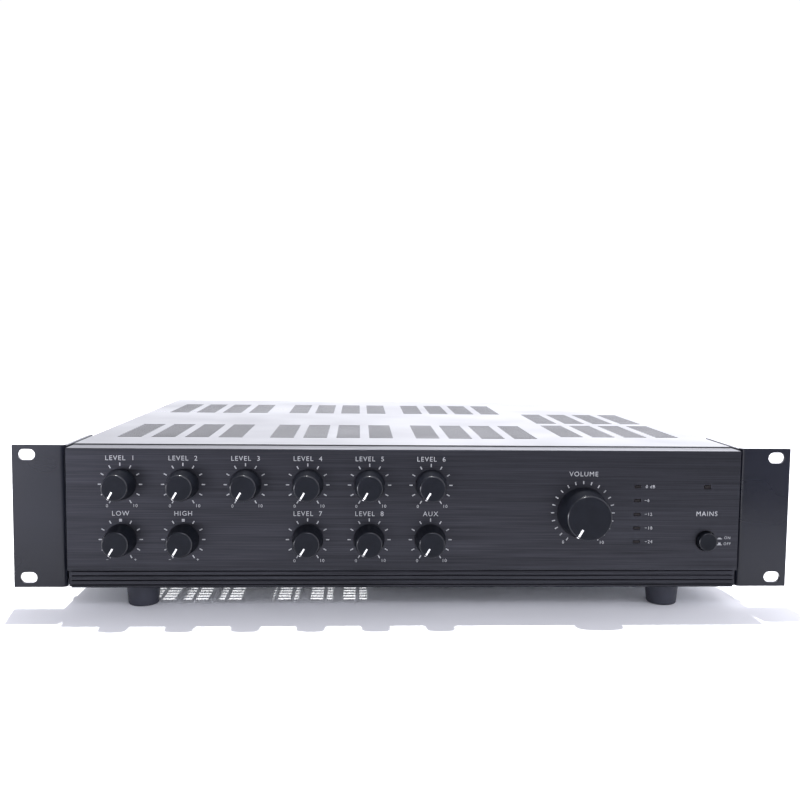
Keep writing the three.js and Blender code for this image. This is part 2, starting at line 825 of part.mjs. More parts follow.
// Light bar: a housing behind the bracket with one lens through each window
function lightBar(x, rows, width, height) {
  const housing = block({
    x: [x - width / 2 - barMargin, x + width / 2 + barMargin],
    y: [innerFront, innerFront + barDepth],
    z: [Math.min(...rows) - height / 2 - barMargin, Math.max(...rows) + height / 2 + barMargin],
  });
  const lenses = rows.map((row) => block({
    x: [x - width / 2 + windowGap, x + width / 2 - windowGap],
    y: [panelFace + lensShy, innerFront],
    z: [row - height / 2 + windowGap, row + height / 2 - windowGap],
  }));
  return join([housing, ...lenses]);
}

function makeLights() {
  place('level_meter', lightBar(meterX, meterRows, meterWindowWidth, meterWindowHeight), 'lens');
  place('power_lamp', lightBar(lampX, [lampRow], lampWindowWidth, lampWindowHeight), 'lens');
}

// Push button on its stem, and the switch that the stem enters
function makePower() {
  const front = panelFace - buttonProud;
  const back = panelFace + buttonBackFromFace;
  const stemEnd = innerFront + stemReach;
  const button = turned([
    [0, front],
    [buttonRadius - buttonChamfer, front],
    [buttonRadius, front + buttonChamfer],
    [buttonRadius, back],
    [stemRadius, back],
    [stemRadius, stemEnd],
    [0, stemEnd],
  ], masterSides);
  place('power_button', button, 'knob', [lampX, 0, buttonRow]);
  const housing = block({
    x: [lampX - switchWidth / 2, lampX + switchWidth / 2],
    y: [innerFront, innerFront + switchDepth],
    z: [buttonRow - switchHeight / 2, buttonRow + switchHeight / 2],
  });
  const [from, to] = [innerFront - cutOver, stemEnd + buttonTravel + cutOver];
  const bore = drill('y', [lampX, buttonRow], stemRadius + stemClearance, from, to);
  place('power_switch', housing.subtract(bore), 'black');
}

// Transformer: laminated core with two windows, and the coil round its middle leg
function makeTransformer() {
  const middle = coreX;
  const y = [coreFromFront - coreStack / 2, coreFromFront + coreStack / 2];
  const z = [floorSeat, coreTop];
  const legInner = coreWidth / 2 - coreLeg;
  const windows = [-1, 1].map((side) => block({
    x: [middle + side * coreLeg, middle + side * legInner],
    y: [y[0] - cutOver, y[1] + cutOver],
    z: [z[0] + coreLeg, z[1] - coreLeg],
  }));
  const frame = cut(block({ x: [middle - coreWidth / 2, middle + coreWidth / 2], y, z }), windows);
  const base = block({
    x: [middle - coreWidth / 2, middle + coreWidth / 2],
    y: [y[0] - coreBaseReach, y[1] + coreBaseReach],
    z: [floorSeat, floorSeat + coreBase],
  });
  place('transformer_core', frame.add(base), 'core');
  const coilZ = [z[0] + coreLeg + seatGap, z[1] - coreLeg - seatGap];
  const coil = block({
    x: [middle - legInner + seatGap, middle + legInner - seatGap],
    y: [y[0] - coilSide, y[1] + coilSide],
    z: coilZ,
  });
  const leg = block({
    x: [middle - coreLeg - seatGap, middle + coreLeg + seatGap],
    y: [y[0] - seatGap, y[1] + seatGap],
    z: [coilZ[0] - cutOver, coilZ[1] + cutOver],
  });
  place('transformer_coil', coil.subtract(leg), 'coil');
}

function boardCorners() {
  const xs = [mainBoardLeft + standoffInset, mainBoardRight - standoffInset];
  const ys = [mainBoardFront + standoffInset, mainBoardBack - standoffInset];
  return xs.flatMap((x) => ys.map((y) => [x, y]));
}

// Main board on its standoffs, with the ribbon plug at its front edge
function makeMainBoard() {
  const board = block({
    x: [mainBoardLeft, mainBoardRight],
    y: [mainBoardFront, mainBoardBack],
    z: [mainBoardUnder, mainBoardTop],
  });
  const plug = block({
    x: [ribbonX - ribbonWidth / 2 - plugMargin, ribbonX + ribbonWidth / 2 + plugMargin],
    y: [mainBoardFront + plugMargin, mainBoardFront + plugMargin + plugDepth],
    z: [mainBoardTop, mainBoardTop + plugHeight],
  });
  place('main_board', board.add(plug), 'board');
}

// Heat sink: a comb of upright fins on a back plate
function makeHeatSink() {
  const left = mainBoardLeft + sinkFromLeft;
  const right = mainBoardRight - capacitorFromRight - capacitorRadius - sinkToCapacitor;
  const sinkWidth = right - left;
  const back = mainBoardBack - sinkFromBack;
  const foot = mainBoardTop + seatGap;
  const pitch = (sinkWidth - sinkFin) / (sinkFins - 1);
  const teeth = Array.from({ length: sinkFins }, (_, i) => left + i * pitch).flatMap((x) => [
    [x, back - sinkBase],
    [x, back - sinkDepth],
    [x + sinkFin, back - sinkDepth],
    [x + sinkFin, back - sinkBase],
  ]);
  const outline = [...teeth.slice(1, -1), [right, back], [left, back]];
  place('heat_sink', prism(outline, 'z', foot, coverUnder - sinkToCover), 'aluminium');
}

function makeCapacitors() {
  const x = mainBoardRight - capacitorFromRight;
  const foot = mainBoardTop + seatGap;
  const profile = [
    [0, 0],
    [capacitorRadius, 0],
    [capacitorRadius, capacitorHeight - capacitorEdge],
    [capacitorRadius - capacitorEdge, capacitorHeight],
    [0, capacitorHeight],
  ];
  for (const i of [0, 1]) {
    const y = mainBoardFront + capacitorFromFront + i * capacitorPitch;
    place(`supply_capacitor_${i + 1}`, turnedUpright(profile, capacitorSides), 'sleeve', [x, y, foot]);
  }
}

// Rear panel with its cut-outs, bent forward at the sides and the foot
function makeRearPanel() {
  const sides = [-1, 1].map((side) => block({
    x: [side * lipInner, side * lipOuter],
    y: [rearFace - flangeDepth, rearBack],
    z: [flangeFoot, rearTop],
  }));
  const foot = lipInner - seatGap;
  const blank = join([
    block({ x: [-lipOuter, lipOuter], y: [rearFace, rearBack], z: [floorSeat, rearTop] }),
    block({ x: [-foot, foot], y: [rearFace - flangeDepth, rearBack], z: [floorSeat, floorSeat + sheet] }),
    ...sides,
  ]);
  const [from, to] = [rearFace - cutOver, rearBack + cutOver];
  const moduleRow = (moduleFoot + moduleTop) / 2;
  const moduleHeight = moduleTop - moduleFoot;
  const opening = (x, z, width, height) => block({
    x: [x - width / 2 - seatGap, x + width / 2 + seatGap],
    y: [from, to],
    z: [z - height / 2 - seatGap, z + height / 2 + seatGap],
  });
  place('rear_panel', cut(blank, [
    opening(inletX, socketRow, inletWidth, inletHeight),
    opening(speakerX, socketRow, tailWidth(speakerWays), tailHeight),
    opening(inputX, socketRow, tailWidth(inputWays), tailHeight),
    opening(inputX, moduleRow, moduleWidth - 2 * moduleMargin, moduleHeight - 2 * moduleMargin),
    drill('y', [fuseX, socketRow], fuseRadius + seatGap, from, to),
    drill('y', [groundX, socketRow], groundPostRadius + seatGap, from, to, smallSides),
  ]), 'zinc');
}

// Mains inlet: a shell with three flat pins in its cavity
function makeInlet() {
  const [x, z] = [inletX, socketRow];
  const mouth = rearSeat + inletFlangeThick;
  const floor = mouth - inletCavity;
  const shell = join([
    block({
      x: [x - inletWidth / 2, x + inletWidth / 2],
      y: [rearFace - inletDepth, rearSeat],
      z: [z - inletHeight / 2, z + inletHeight / 2],
    }),
    block({
      x: [x - inletWidth / 2 - inletFlange, x + inletWidth / 2 + inletFlange],
      y: [rearSeat, mouth],
      z: [z - inletHeight / 2 - inletFlange, z + inletHeight / 2 + inletFlange],
    }),
  ]);
  const cavity = block({
    x: [x - inletWidth / 2 + inletWall, x + inletWidth / 2 - inletWall],
    y: [floor, mouth + cutOver],
    z: [z - inletHeight / 2 + inletWall, z + inletHeight / 2 - inletWall],
  });
  const pins = [-1, 0, 1].map((i) => block({
    x: [x + i * inletPinPitch - inletPinWidth / 2, x + i * inletPinPitch + inletPinWidth / 2],
    y: [floor - inletWall, floor + inletPinLength],
    z: [z - inletPinHeight / 2, z + inletPinHeight / 2],
  }));
  place('mains_inlet', join([shell.subtract(cavity), ...pins]), 'black');
}

function makeFuseHolder() {
  const flange = rearSeat + fuseFlange;
  const holder = turned([
    [0, rearFace - fuseDepth],
    [fuseRadius, rearFace - fuseDepth],
    [fuseRadius, rearSeat],
    [fuseFlangeRadius, rearSeat],
    [fuseFlangeRadius, flange],
    [fuseCapRadius, flange],
    [fuseCapRadius, flange + fuseCap],
    [0, flange + fuseCap],
  ], holeSides);
  place('fuse_holder', holder, 'black', [fuseX, 0, socketRow]);
}

function stripWidth(ways) {
  return ways * stripPitch + barrierWall;
}

function tailWidth(ways) {
  return (ways - 1) * stripPitch;
}

// Terminal strip: a block with barriers between its screws and a tail through the rear panel
function terminalStrip(x, ways) {
  const half = stripWidth(ways) / 2;
  const face = rearSeat + stripDepth;
  const z = [socketRow - stripHeight / 2, socketRow + stripHeight / 2];
  const body = block({ x: [x - half, x + half], y: [rearSeat, face], z });
  const barriers = spread(x, ways + 1, stripPitch).map((middle) => block({
    x: [middle - barrierWall / 2, middle + barrierWall / 2],
    y: [rearSeat, face + barrierHeight],
    z,
  }));
  const screws = spread(x, ways, stripPitch).map((middle) => (
    rod('y', [middle, socketRow], stripScrewRadius, rearSeat, face + stripScrewHeight, headSides)
  ));
  const tail = block({
    x: [x - tailWidth(ways) / 2, x + tailWidth(ways) / 2],
    y: [rearFace - tailDepth, face],
    z: [socketRow - tailHeight / 2, socketRow + tailHeight / 2],
  });
  return join([body, ...barriers, ...screws, tail]);
}

function makeTerminals() {
  place('speaker_terminals', terminalStrip(speakerX, speakerWays), 'black');
  place('input_terminals', terminalStrip(inputX, inputWays), 'black');
  const ground = turned([
    [0, rearFace - groundPost],
    [groundPostRadius, rearFace - groundPost],
    [groundPostRadius, rearSeat],
    [groundCapRadius, rearSeat],
    [groundCapRadius, rearSeat + groundCap],
    [0, rearSeat + groundCap],
  ], smallSides);
  place('ground_terminal', ground, 'shaft', [groundX, 0, socketRow]);
  const plate = block({
    x: [inputX - moduleWidth / 2, inputX + moduleWidth / 2],
    y: [rearSeat, rearSeat + sheet],
    z: [moduleFoot, moduleTop],
  });
  place('module_cover_plate', plate, 'zinc');
}

// Path through corner points, straight between them and rounded at each
function roundedPath(corners, bend) {
  const points = corners.map((corner) => new THREE.Vector3(...corner));
  const towards = (from, to) => from.clone().add(to.clone().sub(from).setLength(bend));
  const path = new THREE.CurvePath();
  let last = points[0];
  points.slice(1, -1).forEach((corner, i) => {
    const [start, end] = [towards(corner, points[i]), towards(corner, points[i + 2])];
    path.add(new THREE.LineCurve3(last, start));
    path.add(new THREE.QuadraticBezierCurve3(start, corner, end));
    last = end;
  });
  path.add(new THREE.LineCurve3(last, points.at(-1)));
  return path;
}

// Mains loom from the inlet, down to the floor, along the right wall and up to the switch
function makeLoom() {
  const floor = floorSeat + loomRadius;
  const inletEnd = rearFace - inletDepth - seatGap;
  const switchEnd = innerFront + switchDepth + seatGap;
  const route = [
    [inletX, inletEnd, socketRow],
    [inletX, inletEnd - loomLead, socketRow],
    [loomX, inletEnd - 3 * loomLead, floor],
    [loomX, switchEnd + 3 * loomLead, floor],
    [lampX, switchEnd + loomLead, buttonRow],
    [lampX, switchEnd, buttonRow],
  ];
  const round = arc([0, 0], loomRadius, 0, fullTurn, loomSides).slice(1);
  const section = new THREE.Shape(round.map(([u, v]) => new THREE.Vector2(u, v)));
  const extrudePath = roundedPath(route, loomBend);
  const loom = new THREE.ExtrudeGeometry(section, { steps: loomSteps, extrudePath });
  place('mains_loom', solidOf(loom), 'wire');
}

// Both edges of a flat ribbon that follows a bent line
function ribbonOutline(line, thick) {
  const shifted = (offset) => line.map(([u, v], i) => {
    const before = line[Math.max(i - 1, 0)];
    const after = line[Math.min(i + 1, line.length - 1)];
    const inward = new THREE.Vector2(u - before[0], v - before[1]).normalize();
    const outward = new THREE.Vector2(after[0] - u, after[1] - v).normalize();
    const along = inward.clone().add(outward).normalize();
    const reach = offset / Math.max(along.dot(inward), along.dot(outward));
    return [u - along.y * reach, v + along.x * reach];
  });
  return [...shifted(thick / 2), ...shifted(-thick / 2).reverse()];
}

// Ribbon from the lower control board, down to the floor and back to the main board
function makeRibbon() {
  const start = innerFront + housingDepth + boardSheet + plugDepth + seatGap;
  const end = mainBoardFront + plugMargin - seatGap;
  const floor = floorSeat + ribbonThick / 2;
  const high = mainBoardTop + plugHeight / 2;
  const line = [
    [start, lowerRow],
    [start + ribbonRun, lowerRow],
    [start + 2 * ribbonRun, floor],
    [end - 2 * ribbonRun, floor],
    [end - ribbonRun, high],
    [end, high],
  ];
  const [left, right] = [ribbonX - ribbonWidth / 2, ribbonX + ribbonWidth / 2];
  place('control_ribbon', prism(ribbonOutline(line, ribbonThick), 'x', left, right), 'wire');
}

makeFrontPanel();
makeFrontBracket();
makeTray();
makeCover();
makeEar(-1, 'rack_ear_left');
makeEar(1, 'rack_ear_right');
makeEarScrews();
makeFeet();
makeDials();
makeControlBoards();
makeLights();
makePower();
makeTransformer();
makeMainBoard();
makeHeatSink();
makeCapacitors();
makeRearPanel();
makeInlet();
makeFuseHolder();
makeTerminals();
makeLoom();
makeRibbon();

// The origin lies on the table, under the middle of the whole
const reach = new THREE.Box3().setFromObject(amplifier);
amplifier.position.y = -(reach.min.y + reach.max.y) / 2;
amplifier.updateMatrixWorld(true);

export default amplifier;
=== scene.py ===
"""Looks of the integrated amplifier.

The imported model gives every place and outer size. This script gives each shell, dial, socket and screw its
fine shape and finish, prints the scales on the panel, and stands the amplifier in a white studio. Lengths
are millimetres in the shared frame (X right, Y to the back, Z up) until a mesh is written out in metres.
"""

import json
import logging
import math
from dataclasses import dataclass
from enum import Enum
from functools import lru_cache
from typing import Sequence, Union

import bmesh
import bpy
from mathutils import Matrix, Vector


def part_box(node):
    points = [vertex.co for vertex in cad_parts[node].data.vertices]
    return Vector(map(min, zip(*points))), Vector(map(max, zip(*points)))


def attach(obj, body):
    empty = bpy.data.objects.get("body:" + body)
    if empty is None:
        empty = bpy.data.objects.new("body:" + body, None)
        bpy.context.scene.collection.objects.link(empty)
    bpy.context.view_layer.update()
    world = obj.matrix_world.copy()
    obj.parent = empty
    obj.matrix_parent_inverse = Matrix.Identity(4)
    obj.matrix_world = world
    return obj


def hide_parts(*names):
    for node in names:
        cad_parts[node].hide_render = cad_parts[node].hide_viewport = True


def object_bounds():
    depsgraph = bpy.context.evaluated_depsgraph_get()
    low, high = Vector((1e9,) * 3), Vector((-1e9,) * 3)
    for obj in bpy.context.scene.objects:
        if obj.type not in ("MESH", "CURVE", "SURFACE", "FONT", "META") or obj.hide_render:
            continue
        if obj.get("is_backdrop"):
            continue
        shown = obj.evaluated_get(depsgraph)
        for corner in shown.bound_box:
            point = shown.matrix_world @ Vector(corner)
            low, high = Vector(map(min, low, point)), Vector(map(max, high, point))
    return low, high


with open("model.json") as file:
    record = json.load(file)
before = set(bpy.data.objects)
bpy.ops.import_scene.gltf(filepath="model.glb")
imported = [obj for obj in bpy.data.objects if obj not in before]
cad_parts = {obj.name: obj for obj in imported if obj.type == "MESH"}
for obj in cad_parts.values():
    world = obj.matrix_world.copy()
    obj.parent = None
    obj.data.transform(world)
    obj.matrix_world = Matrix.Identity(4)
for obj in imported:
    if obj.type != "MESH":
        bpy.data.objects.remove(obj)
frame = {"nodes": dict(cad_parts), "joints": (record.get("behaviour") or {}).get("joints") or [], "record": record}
cad_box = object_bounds()

MM = 0.001
FULL_TURN = math.tau
MERGE = 1e-4
PAST = 1.0
COMMON_RANGE = (0.3, 0.7)
WIDE_RANGE = (0.15, 0.85)
METER_PITCH = 8.7
TERMINAL_PITCH = 12.0
SMOOTH_LIMIT = 35.0
CAPITAL_SHARE = 0.72
LETTER_SPACE = 1.18
CASE = "case"

Point = Sequence[float]
Corner = tuple[float, float]
Colour = tuple[float, float, float]

logging.basicConfig(level=logging.INFO, format="%(message)s")
log = logging.getLogger("amplifier")


class Axis(Enum):
    """A main direction of the shared frame, with the two directions that an outline across it uses."""

    X = (0, 1, 2)
    Y = (1, 0, 2)
    Z = (2, 0, 1)

    @property
    def unit(self) -> Vector:
        """Returns the unit vector along the axis."""
        return Vector([1.0 if i == self.value[0] else 0.0 for i in range(3)])

    def point(self, along: float, u: float, v: float) -> Vector:
        """Places an outline's corner in the frame.

        Args:
            along: place along the axis.
            u: place along the first direction across it.
            v: place along the second.

        Returns:
            The point.
        """
        spot = Vector((0.0, 0.0, 0.0))
        for index, value in zip(self.value, (along, u, v)):
            spot[index] = value
        return spot


@dataclass(frozen=True)
class Extent:
    """Lowest and highest corner of a CAD node, in millimetres."""

    low: Vector
    high: Vector

    @classmethod
    def of(cls, node: str) -> "Extent":
        """Reads the box of a CAD node.

        Args:
            node: the node's name.

        Returns:
            Its extent.
        """
        low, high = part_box(node)
        return cls(low / MM, high / MM)

    @property
    def middle(self) -> Vector:
        """Returns the centre of the box."""
        return (self.low + self.high) / 2

    @property
    def size(self) -> Vector:
        """Returns the three lengths of the box."""
        return self.high - self.low

    @property
    def reach(self) -> Corner:
        """Returns how far the box's near and far side are from the middle of the amplifier, along X."""
        near, far = sorted((abs(self.low.x), abs(self.high.x)))
        return near, far


def joint_centre(joint: str) -> Vector:
    """Finds the point that a hinge turns about.

    Args:
        joint: the joint's name.

    Returns:
        The point on its axis, in millimetres.
    """
    found = next(row for row in frame["joints"] if row["name"] == joint)
    return Vector(found["pos_m"]) / MM


def spread(middle: float, count: int, pitch: float) -> list[float]:
    """Sets places out at one pitch.

    Args:
        middle: the middle of them all.
        count: how many there are.
        pitch: the step between neighbours.

    Returns:
        The places, lowest first.
    """
    return [middle + (i - (count - 1) / 2) * pitch for i in range(count)]


def of_kind(items: Sequence[object], kind: type) -> list:
    """Returns the items of one kind, such as the vertices that an operator gave back."""
    return [item for item in items if isinstance(item, kind)]


class Form:
    """A closed shape in the making, in millimetres of the shared frame."""

    def __init__(self) -> None:
        """Starts with nothing."""
        self.mesh = bmesh.new()

    @classmethod
    def bar(cls, low: Point, high: Point) -> "Form":
        """Makes a box.

        Args:
            low: one corner.
            high: the opposite corner.

        Returns:
            The box.
        """
        form = cls()
        made = bmesh.ops.create_cube(form.mesh, size=1.0)["verts"]
        bmesh.ops.scale(form.mesh, vec=Vector(high) - Vector(low), verts=made)
        bmesh.ops.translate(form.mesh, vec=(Vector(high) + Vector(low)) / 2, verts=made)
        return form.turned_out()

    @classmethod
    def prism(cls, outline: Sequence[Corner], axis: Axis, start: float, end: float, corner: float = 0.0,
              steps: int = 4) -> "Form":
        """Draws an outline out along an axis.

        Args:
            outline: its corners, in order.
            axis: the direction that it is drawn out in.
            start: where it starts on the axis.
            end: where it ends.
            corner: radius that every corner is rounded by.
            steps: segments of a rounded corner.

        Returns:
            The prism.
        """
        form = cls()
        face = form.mesh.faces.new([form.mesh.verts.new(axis.point(start, u, v)) for u, v in outline])
        if corner:
            bmesh.ops.bevel(form.mesh, geom=face.verts[:], offset=corner, offset_type="OFFSET",
                            affect="VERTICES", segments=steps, profile=0.5, material=-1)
        drawn = bmesh.ops.extrude_face_region(form.mesh, geom=form.mesh.faces[:])["geom"]
        moved = of_kind(drawn, bmesh.types.BMVert)
        bmesh.ops.translate(form.mesh, vec=axis.unit * (end - start), verts=moved)
        return form.turned_out()

    @classmethod
    def lathe(cls, profile: Sequence[Corner], axis: Axis, centre: Point, sides: int = 64) -> "Form":
        """Turns a profile round an axis.

        Args:
            profile: corners as radius and place along the axis. It starts and ends on the axis, or closes.
            axis: the direction of the axis.
            centre: a point on it.
            sides: steps of the full turn.

        Returns:
            The turned shape.
        """
        form = cls()
        verts = [form.mesh.verts.new(axis.point(along, radius, 0.0)) for radius, along in profile]
        edges = [form.mesh.edges.new(pair) for pair in zip(verts, verts[1:])]
        if profile[0][0] > 0:
            edges.append(form.mesh.edges.new((verts[-1], verts[0])))
        bmesh.ops.spin(form.mesh, geom=verts + edges, cent=(0, 0, 0), axis=axis.unit, angle=FULL_TURN,
                       steps=sides, use_merge=True)
        bmesh.ops.remove_doubles(form.mesh, verts=form.mesh.verts[:], dist=MERGE)
        shift = Vector(centre)
        shift[axis.value[0]] = 0.0
        bmesh.ops.translate(form.mesh, vec=shift, verts=form.mesh.verts[:])
        return form.turned_out()

    @classmethod
    def rod(cls, radius: float, axis: Axis, centre: Point, span: Corner, sides: int = 64) -> "Form":
        """Makes a plain round rod.

        Args:
            radius: its radius.
            axis: the direction of its axis.
            centre: a point on that.
            span: where it starts and ends on the axis.
            sides: its sides.

        Returns:
            The rod.
        """
        start, end = span
        return cls.lathe([(0.0, start), (radius, start), (radius, end), (0.0, end)], axis, centre, sides)

    @classmethod
    def text(cls, words: str, height: float, middle: Point, depth: float, back: bool = False) -> "Form":
        """Writes words on an upright face.

        Args:
            words: what is written.
            height: height of a capital letter.
            middle: centre of the line, on the face.
            depth: how far the letters stand out.
            back: true for the rear of the amplifier, false for its front.

        Returns:
            The letters as closed shapes.
        """
        curve = bpy.data.curves.new("words", "FONT")
        curve.body = words
        curve.align_x, curve.align_y = "CENTER", "CENTER"
        curve.size = height / CAPITAL_SHARE
        curve.space_character = LETTER_SPACE
        curve.extrude = depth
        curve.resolution_u = 3
        holder = bpy.data.objects.new("words", curve)
        flat = bpy.data.meshes.new_from_object(holder)
        form = cls()
        form.mesh.from_mesh(flat)
        bpy.data.objects.remove(holder)
        bpy.data.curves.remove(curve)
        bpy.data.meshes.remove(flat)
        bmesh.ops.remove_doubles(form.mesh, verts=form.mesh.verts[:], dist=MERGE)
        form.turn(Axis.X, 90.0)
        if back:
            form.turn(Axis.Z, 180.0)
        return form.move(middle)

    def move(self, vector: Point) -> "Form":
        """Shifts the shape by a vector and returns it."""
        bmesh.ops.translate(self.mesh, vec=Vector(vector), verts=self.mesh.verts[:])
        return self

    def turn(self, axis: Axis, degrees: float, centre: Point = (0, 0, 0)) -> "Form":
        """Turns the shape.

        Args:
            axis: direction of the axis.
            degrees: angle.
            centre: a point on the axis.

        Returns:
            The shape itself.
        """
        matrix = Matrix.Rotation(math.radians(degrees), 3, axis.unit)
        bmesh.ops.rotate(self.mesh, cent=Vector(centre), matrix=matrix, verts=self.mesh.verts[:])
        return self

    def flip(self, axis: Axis) -> "Form":
        """Mirrors the shape across the middle plane of an axis.

        Args:
            axis: the axis that is turned round.

        Returns:
            The shape itself.
        """
        factors = [-1.0 if i == axis.value[0] else 1.0 for i in range(3)]
        bmesh.ops.scale(self.mesh, vec=factors, verts=self.mesh.verts[:])
        return self.turned_out()

    def turned_out(self) -> "Form":
        """Points every face outwards and returns the shape."""
        bmesh.ops.recalc_face_normals(self.mesh, faces=self.mesh.faces[:])
        return self

    def join(self, *others: "Form") -> "Form":
        """Takes other shapes in.

        Args:
            others: the shapes, which are used up.

        Returns:
            The shape itself.
        """
        for other in others:
            spare = bpy.data.meshes.new("spare")
            other.mesh.to_mesh(spare)
            other.mesh.free()
            self.mesh.from_mesh(spare)
            bpy.data.meshes.remove(spare)
        return self

    def stand_in(self) -> bpy.types.Object:
        """Writes the shape to an object of its own.

        Returns:
            The object.
        """
        mesh = bpy.data.meshes.new("stand_in")
        self.mesh.to_mesh(mesh)
        thing = bpy.data.objects.new("stand_in", mesh)
        bpy.context.scene.collection.objects.link(thing)
        return thing

    def cut(self, *tools: "Form") -> "Form":
        """Takes other shapes, which don't overlap, out of this one.

        Args:
            tools: what is cut away, which is used up.

        Returns:
            The shape itself.
        """
        body, tool = self.stand_in(), joined(tools).stand_in()
        step = body.modifiers.new("cut", "BOOLEAN")
        step.operation, step.solver, step.object = "DIFFERENCE", "EXACT", tool
        seen = body.evaluated_get(bpy.context.evaluated_depsgraph_get())
        result = bpy.data.meshes.new_from_object(seen)
        self.mesh.clear()
        self.mesh.from_mesh(result)
        bpy.data.meshes.remove(result)
        for thing in (body, tool):
            data = thing.data
            bpy.data.objects.remove(thing)
            bpy.data.meshes.remove(data)
        return self


class Field:
    """A shader value that takes part in Python sums."""

    def __init__(self, graph: "Graph", socket: bpy.types.NodeSocket) -> None:
        """Wraps a socket.

        Args:
            graph: the material's graph.
            socket: the output that holds the value.
        """
        self.graph = graph
        self.socket = socket

    def __add__(self, other: "Value") -> "Field":
        """Returns the sum."""
        return self.graph.maths("ADD", self, other)

    __radd__ = __add__

    def __sub__(self, other: "Value") -> "Field":
        """Returns the difference."""
        return self.graph.maths("SUBTRACT", self, other)

    def __rsub__(self, other: "Value") -> "Field":
        """Returns the difference the other way round."""
        return self.graph.maths("SUBTRACT", other, self)

    def __mul__(self, other: "Value") -> "Field":
        """Returns the product."""
        return self.graph.maths("MULTIPLY", self, other)

    __rmul__ = __mul__

    def __pow__(self, other: "Value") -> "Field":
        """Returns the power."""
        return self.graph.maths("POWER", self, other)


Value = Union[Field, float]


class Graph:
    """The nodes of one material, or of the world."""

    def __init__(self, tree: bpy.types.NodeTree) -> None:
        """Empties a tree and works in it.

        Args:
            tree: the node tree.
        """
        self.tree = tree
        self.tree.nodes.clear()

    def add(self, kind: str, settings: dict, values: dict) -> bpy.types.Node:
        """Adds a node.

        Args:
            kind: its type.
            settings: its own settings, set first.
            values: numbers, colours or fields for its inputs, by name or number.

        Returns:
            The node.
        """
        node = self.tree.nodes.new(kind)
        for name, value in settings.items():
            setattr(node, name, value)
        for name, value in values.items():
            if isinstance(value, Field):
                self.tree.links.new(value.socket, node.inputs[name])
            else:
                node.inputs[name].default_value = value
        return node

    def maths(self, operation: str, *terms: Value) -> Field:
        """Adds a Math node.

        Args:
            operation: what it does.
            terms: its inputs.

        Returns:
            Its result.
        """
        node = self.add("ShaderNodeMath", {"operation": operation}, dict(enumerate(terms)))
        return Field(self, node.outputs[0])

    def place(self, name: str = "Object") -> Field:
        """Returns an output of the texture coordinates, such as the place on the piece, in metres."""
        return Field(self, self.add("ShaderNodeTexCoord", {}, {}).outputs[name])

    def part(self, index: int, source: str = "Object") -> Field:
        """Returns one coordinate of such an output: 0 for X, 1 for Y, 2 for Z."""
        return Field(self, self.add("ShaderNodeSeparateXYZ", {}, {0: self.place(source)}).outputs[index])

    def noise(self, size: Union[float, Point], detail: float = 2.0, shift: float = 0.0) -> Field:
        """Adds a cloud pattern.

        Args:
            size: length of a cloud along each axis, or along all three, in millimetres.
            detail: levels of finer clouds in it.
            shift: moves the pattern, so that two don't match.

        Returns:
            The pattern, from 0 to 1 and mostly near 0.5.
        """
        lengths = (size,) * 3 if isinstance(size, float) else size
        scale = [1 / (length * MM) for length in lengths]
        mapped = self.add("ShaderNodeMapping", {}, {
            "Vector": self.place(), "Scale": scale, "Location": (shift, shift, shift)})
        node = self.add("ShaderNodeTexNoise", {}, {
            "Vector": Field(self, mapped.outputs[0]), "Scale": 1.0, "Detail": detail})
        return Field(self, node.outputs[0])

    def cells(self, size: float) -> Field:
        """Adds cells that each have a random value.

        Args:
            size: size of a cell, in millimetres.

        Returns:
            The values, from 0 to 1.
        """
        node = self.add("ShaderNodeTexVoronoi", {}, {"Vector": self.place(), "Scale": 1 / (size * MM)})
        shares = self.add("ShaderNodeSeparateXYZ", {}, {0: Field(self, node.outputs[1])})
        return Field(self, shares.outputs[0])

    def ridges(self, index: int, pitch: float) -> Field:
        """Adds even ridges.

        Args:
            index: the coordinate that they repeat along.
            pitch: from one to the next, in millimetres.

        Returns:
            Their height, from 0 to 1.
        """
        return self.maths("SINE", self.part(index) * (FULL_TURN / (pitch * MM))) * 0.5 + 0.5

    def limit(self, field: Field, low: float, high: float, to_low: float = 0.0,
              to_high: float = 1.0) -> Field:
        """Stretches a range of a field over another and stops at its ends.

        Args:
            field: the field.
            low: start of the range.
            high: end of the range.
            to_low: what the start becomes.
            to_high: what the end becomes.

        Returns:
            The stretched field.
        """
        node = self.add("ShaderNodeMapRange", {"clamp": True}, {
            0: field, 1: low, 2: high, 3: to_low, 4: to_high})
        return Field(self, node.outputs[0])

    def blend(self, factor: Value, first: Union[Field, Colour], second: Union[Field, Colour]) -> Field:
        """Mixes two colours.

        Args:
            factor: share of the second.
            first: one colour.
            second: the other.

        Returns:
            The mixed colour.
        """
        colours = [value if isinstance(value, Field) else (*value, 1.0) for value in (first, second)]
        node = self.add("ShaderNodeMix", {"data_type": "RGBA"}, {0: factor, 6: colours[0], 7: colours[1]})
        return Field(self, node.outputs[2])

    def bumps(self, height: Field, depth: float) -> Field:
        """Adds relief.

        Args:
            height: the relief, from 0 to 1.
            depth: its full height in millimetres.

        Returns:
            The bent normal.
        """
        node = self.add("ShaderNodeBump", {}, {"Height": height, "Strength": 1.0, "Distance": depth * MM})
        return Field(self, node.outputs[0])

    def surface(self, **sockets: object) -> None:
        """Adds the shader and wires it to the output.

        Args:
            sockets: its inputs, with underscores for the spaces in their names.
        """
        values = {name.replace("_", " "): value for name, value in sockets.items()}
        shader = self.add("ShaderNodeBsdfPrincipled", {}, values)
        self.add("ShaderNodeOutputMaterial", {}, {"Surface": Field(self, shader.outputs[0])})


def joined(forms: Sequence[Form]) -> Form:
    """Joins shapes into the first of them and returns it."""
    return forms[0].join(*forms[1:])


def shade(colour: Colour, factor: float) -> Colour:
    """Returns a colour made lighter or darker by a factor."""
    return tuple(min(1.0, part * factor) for part in colour)


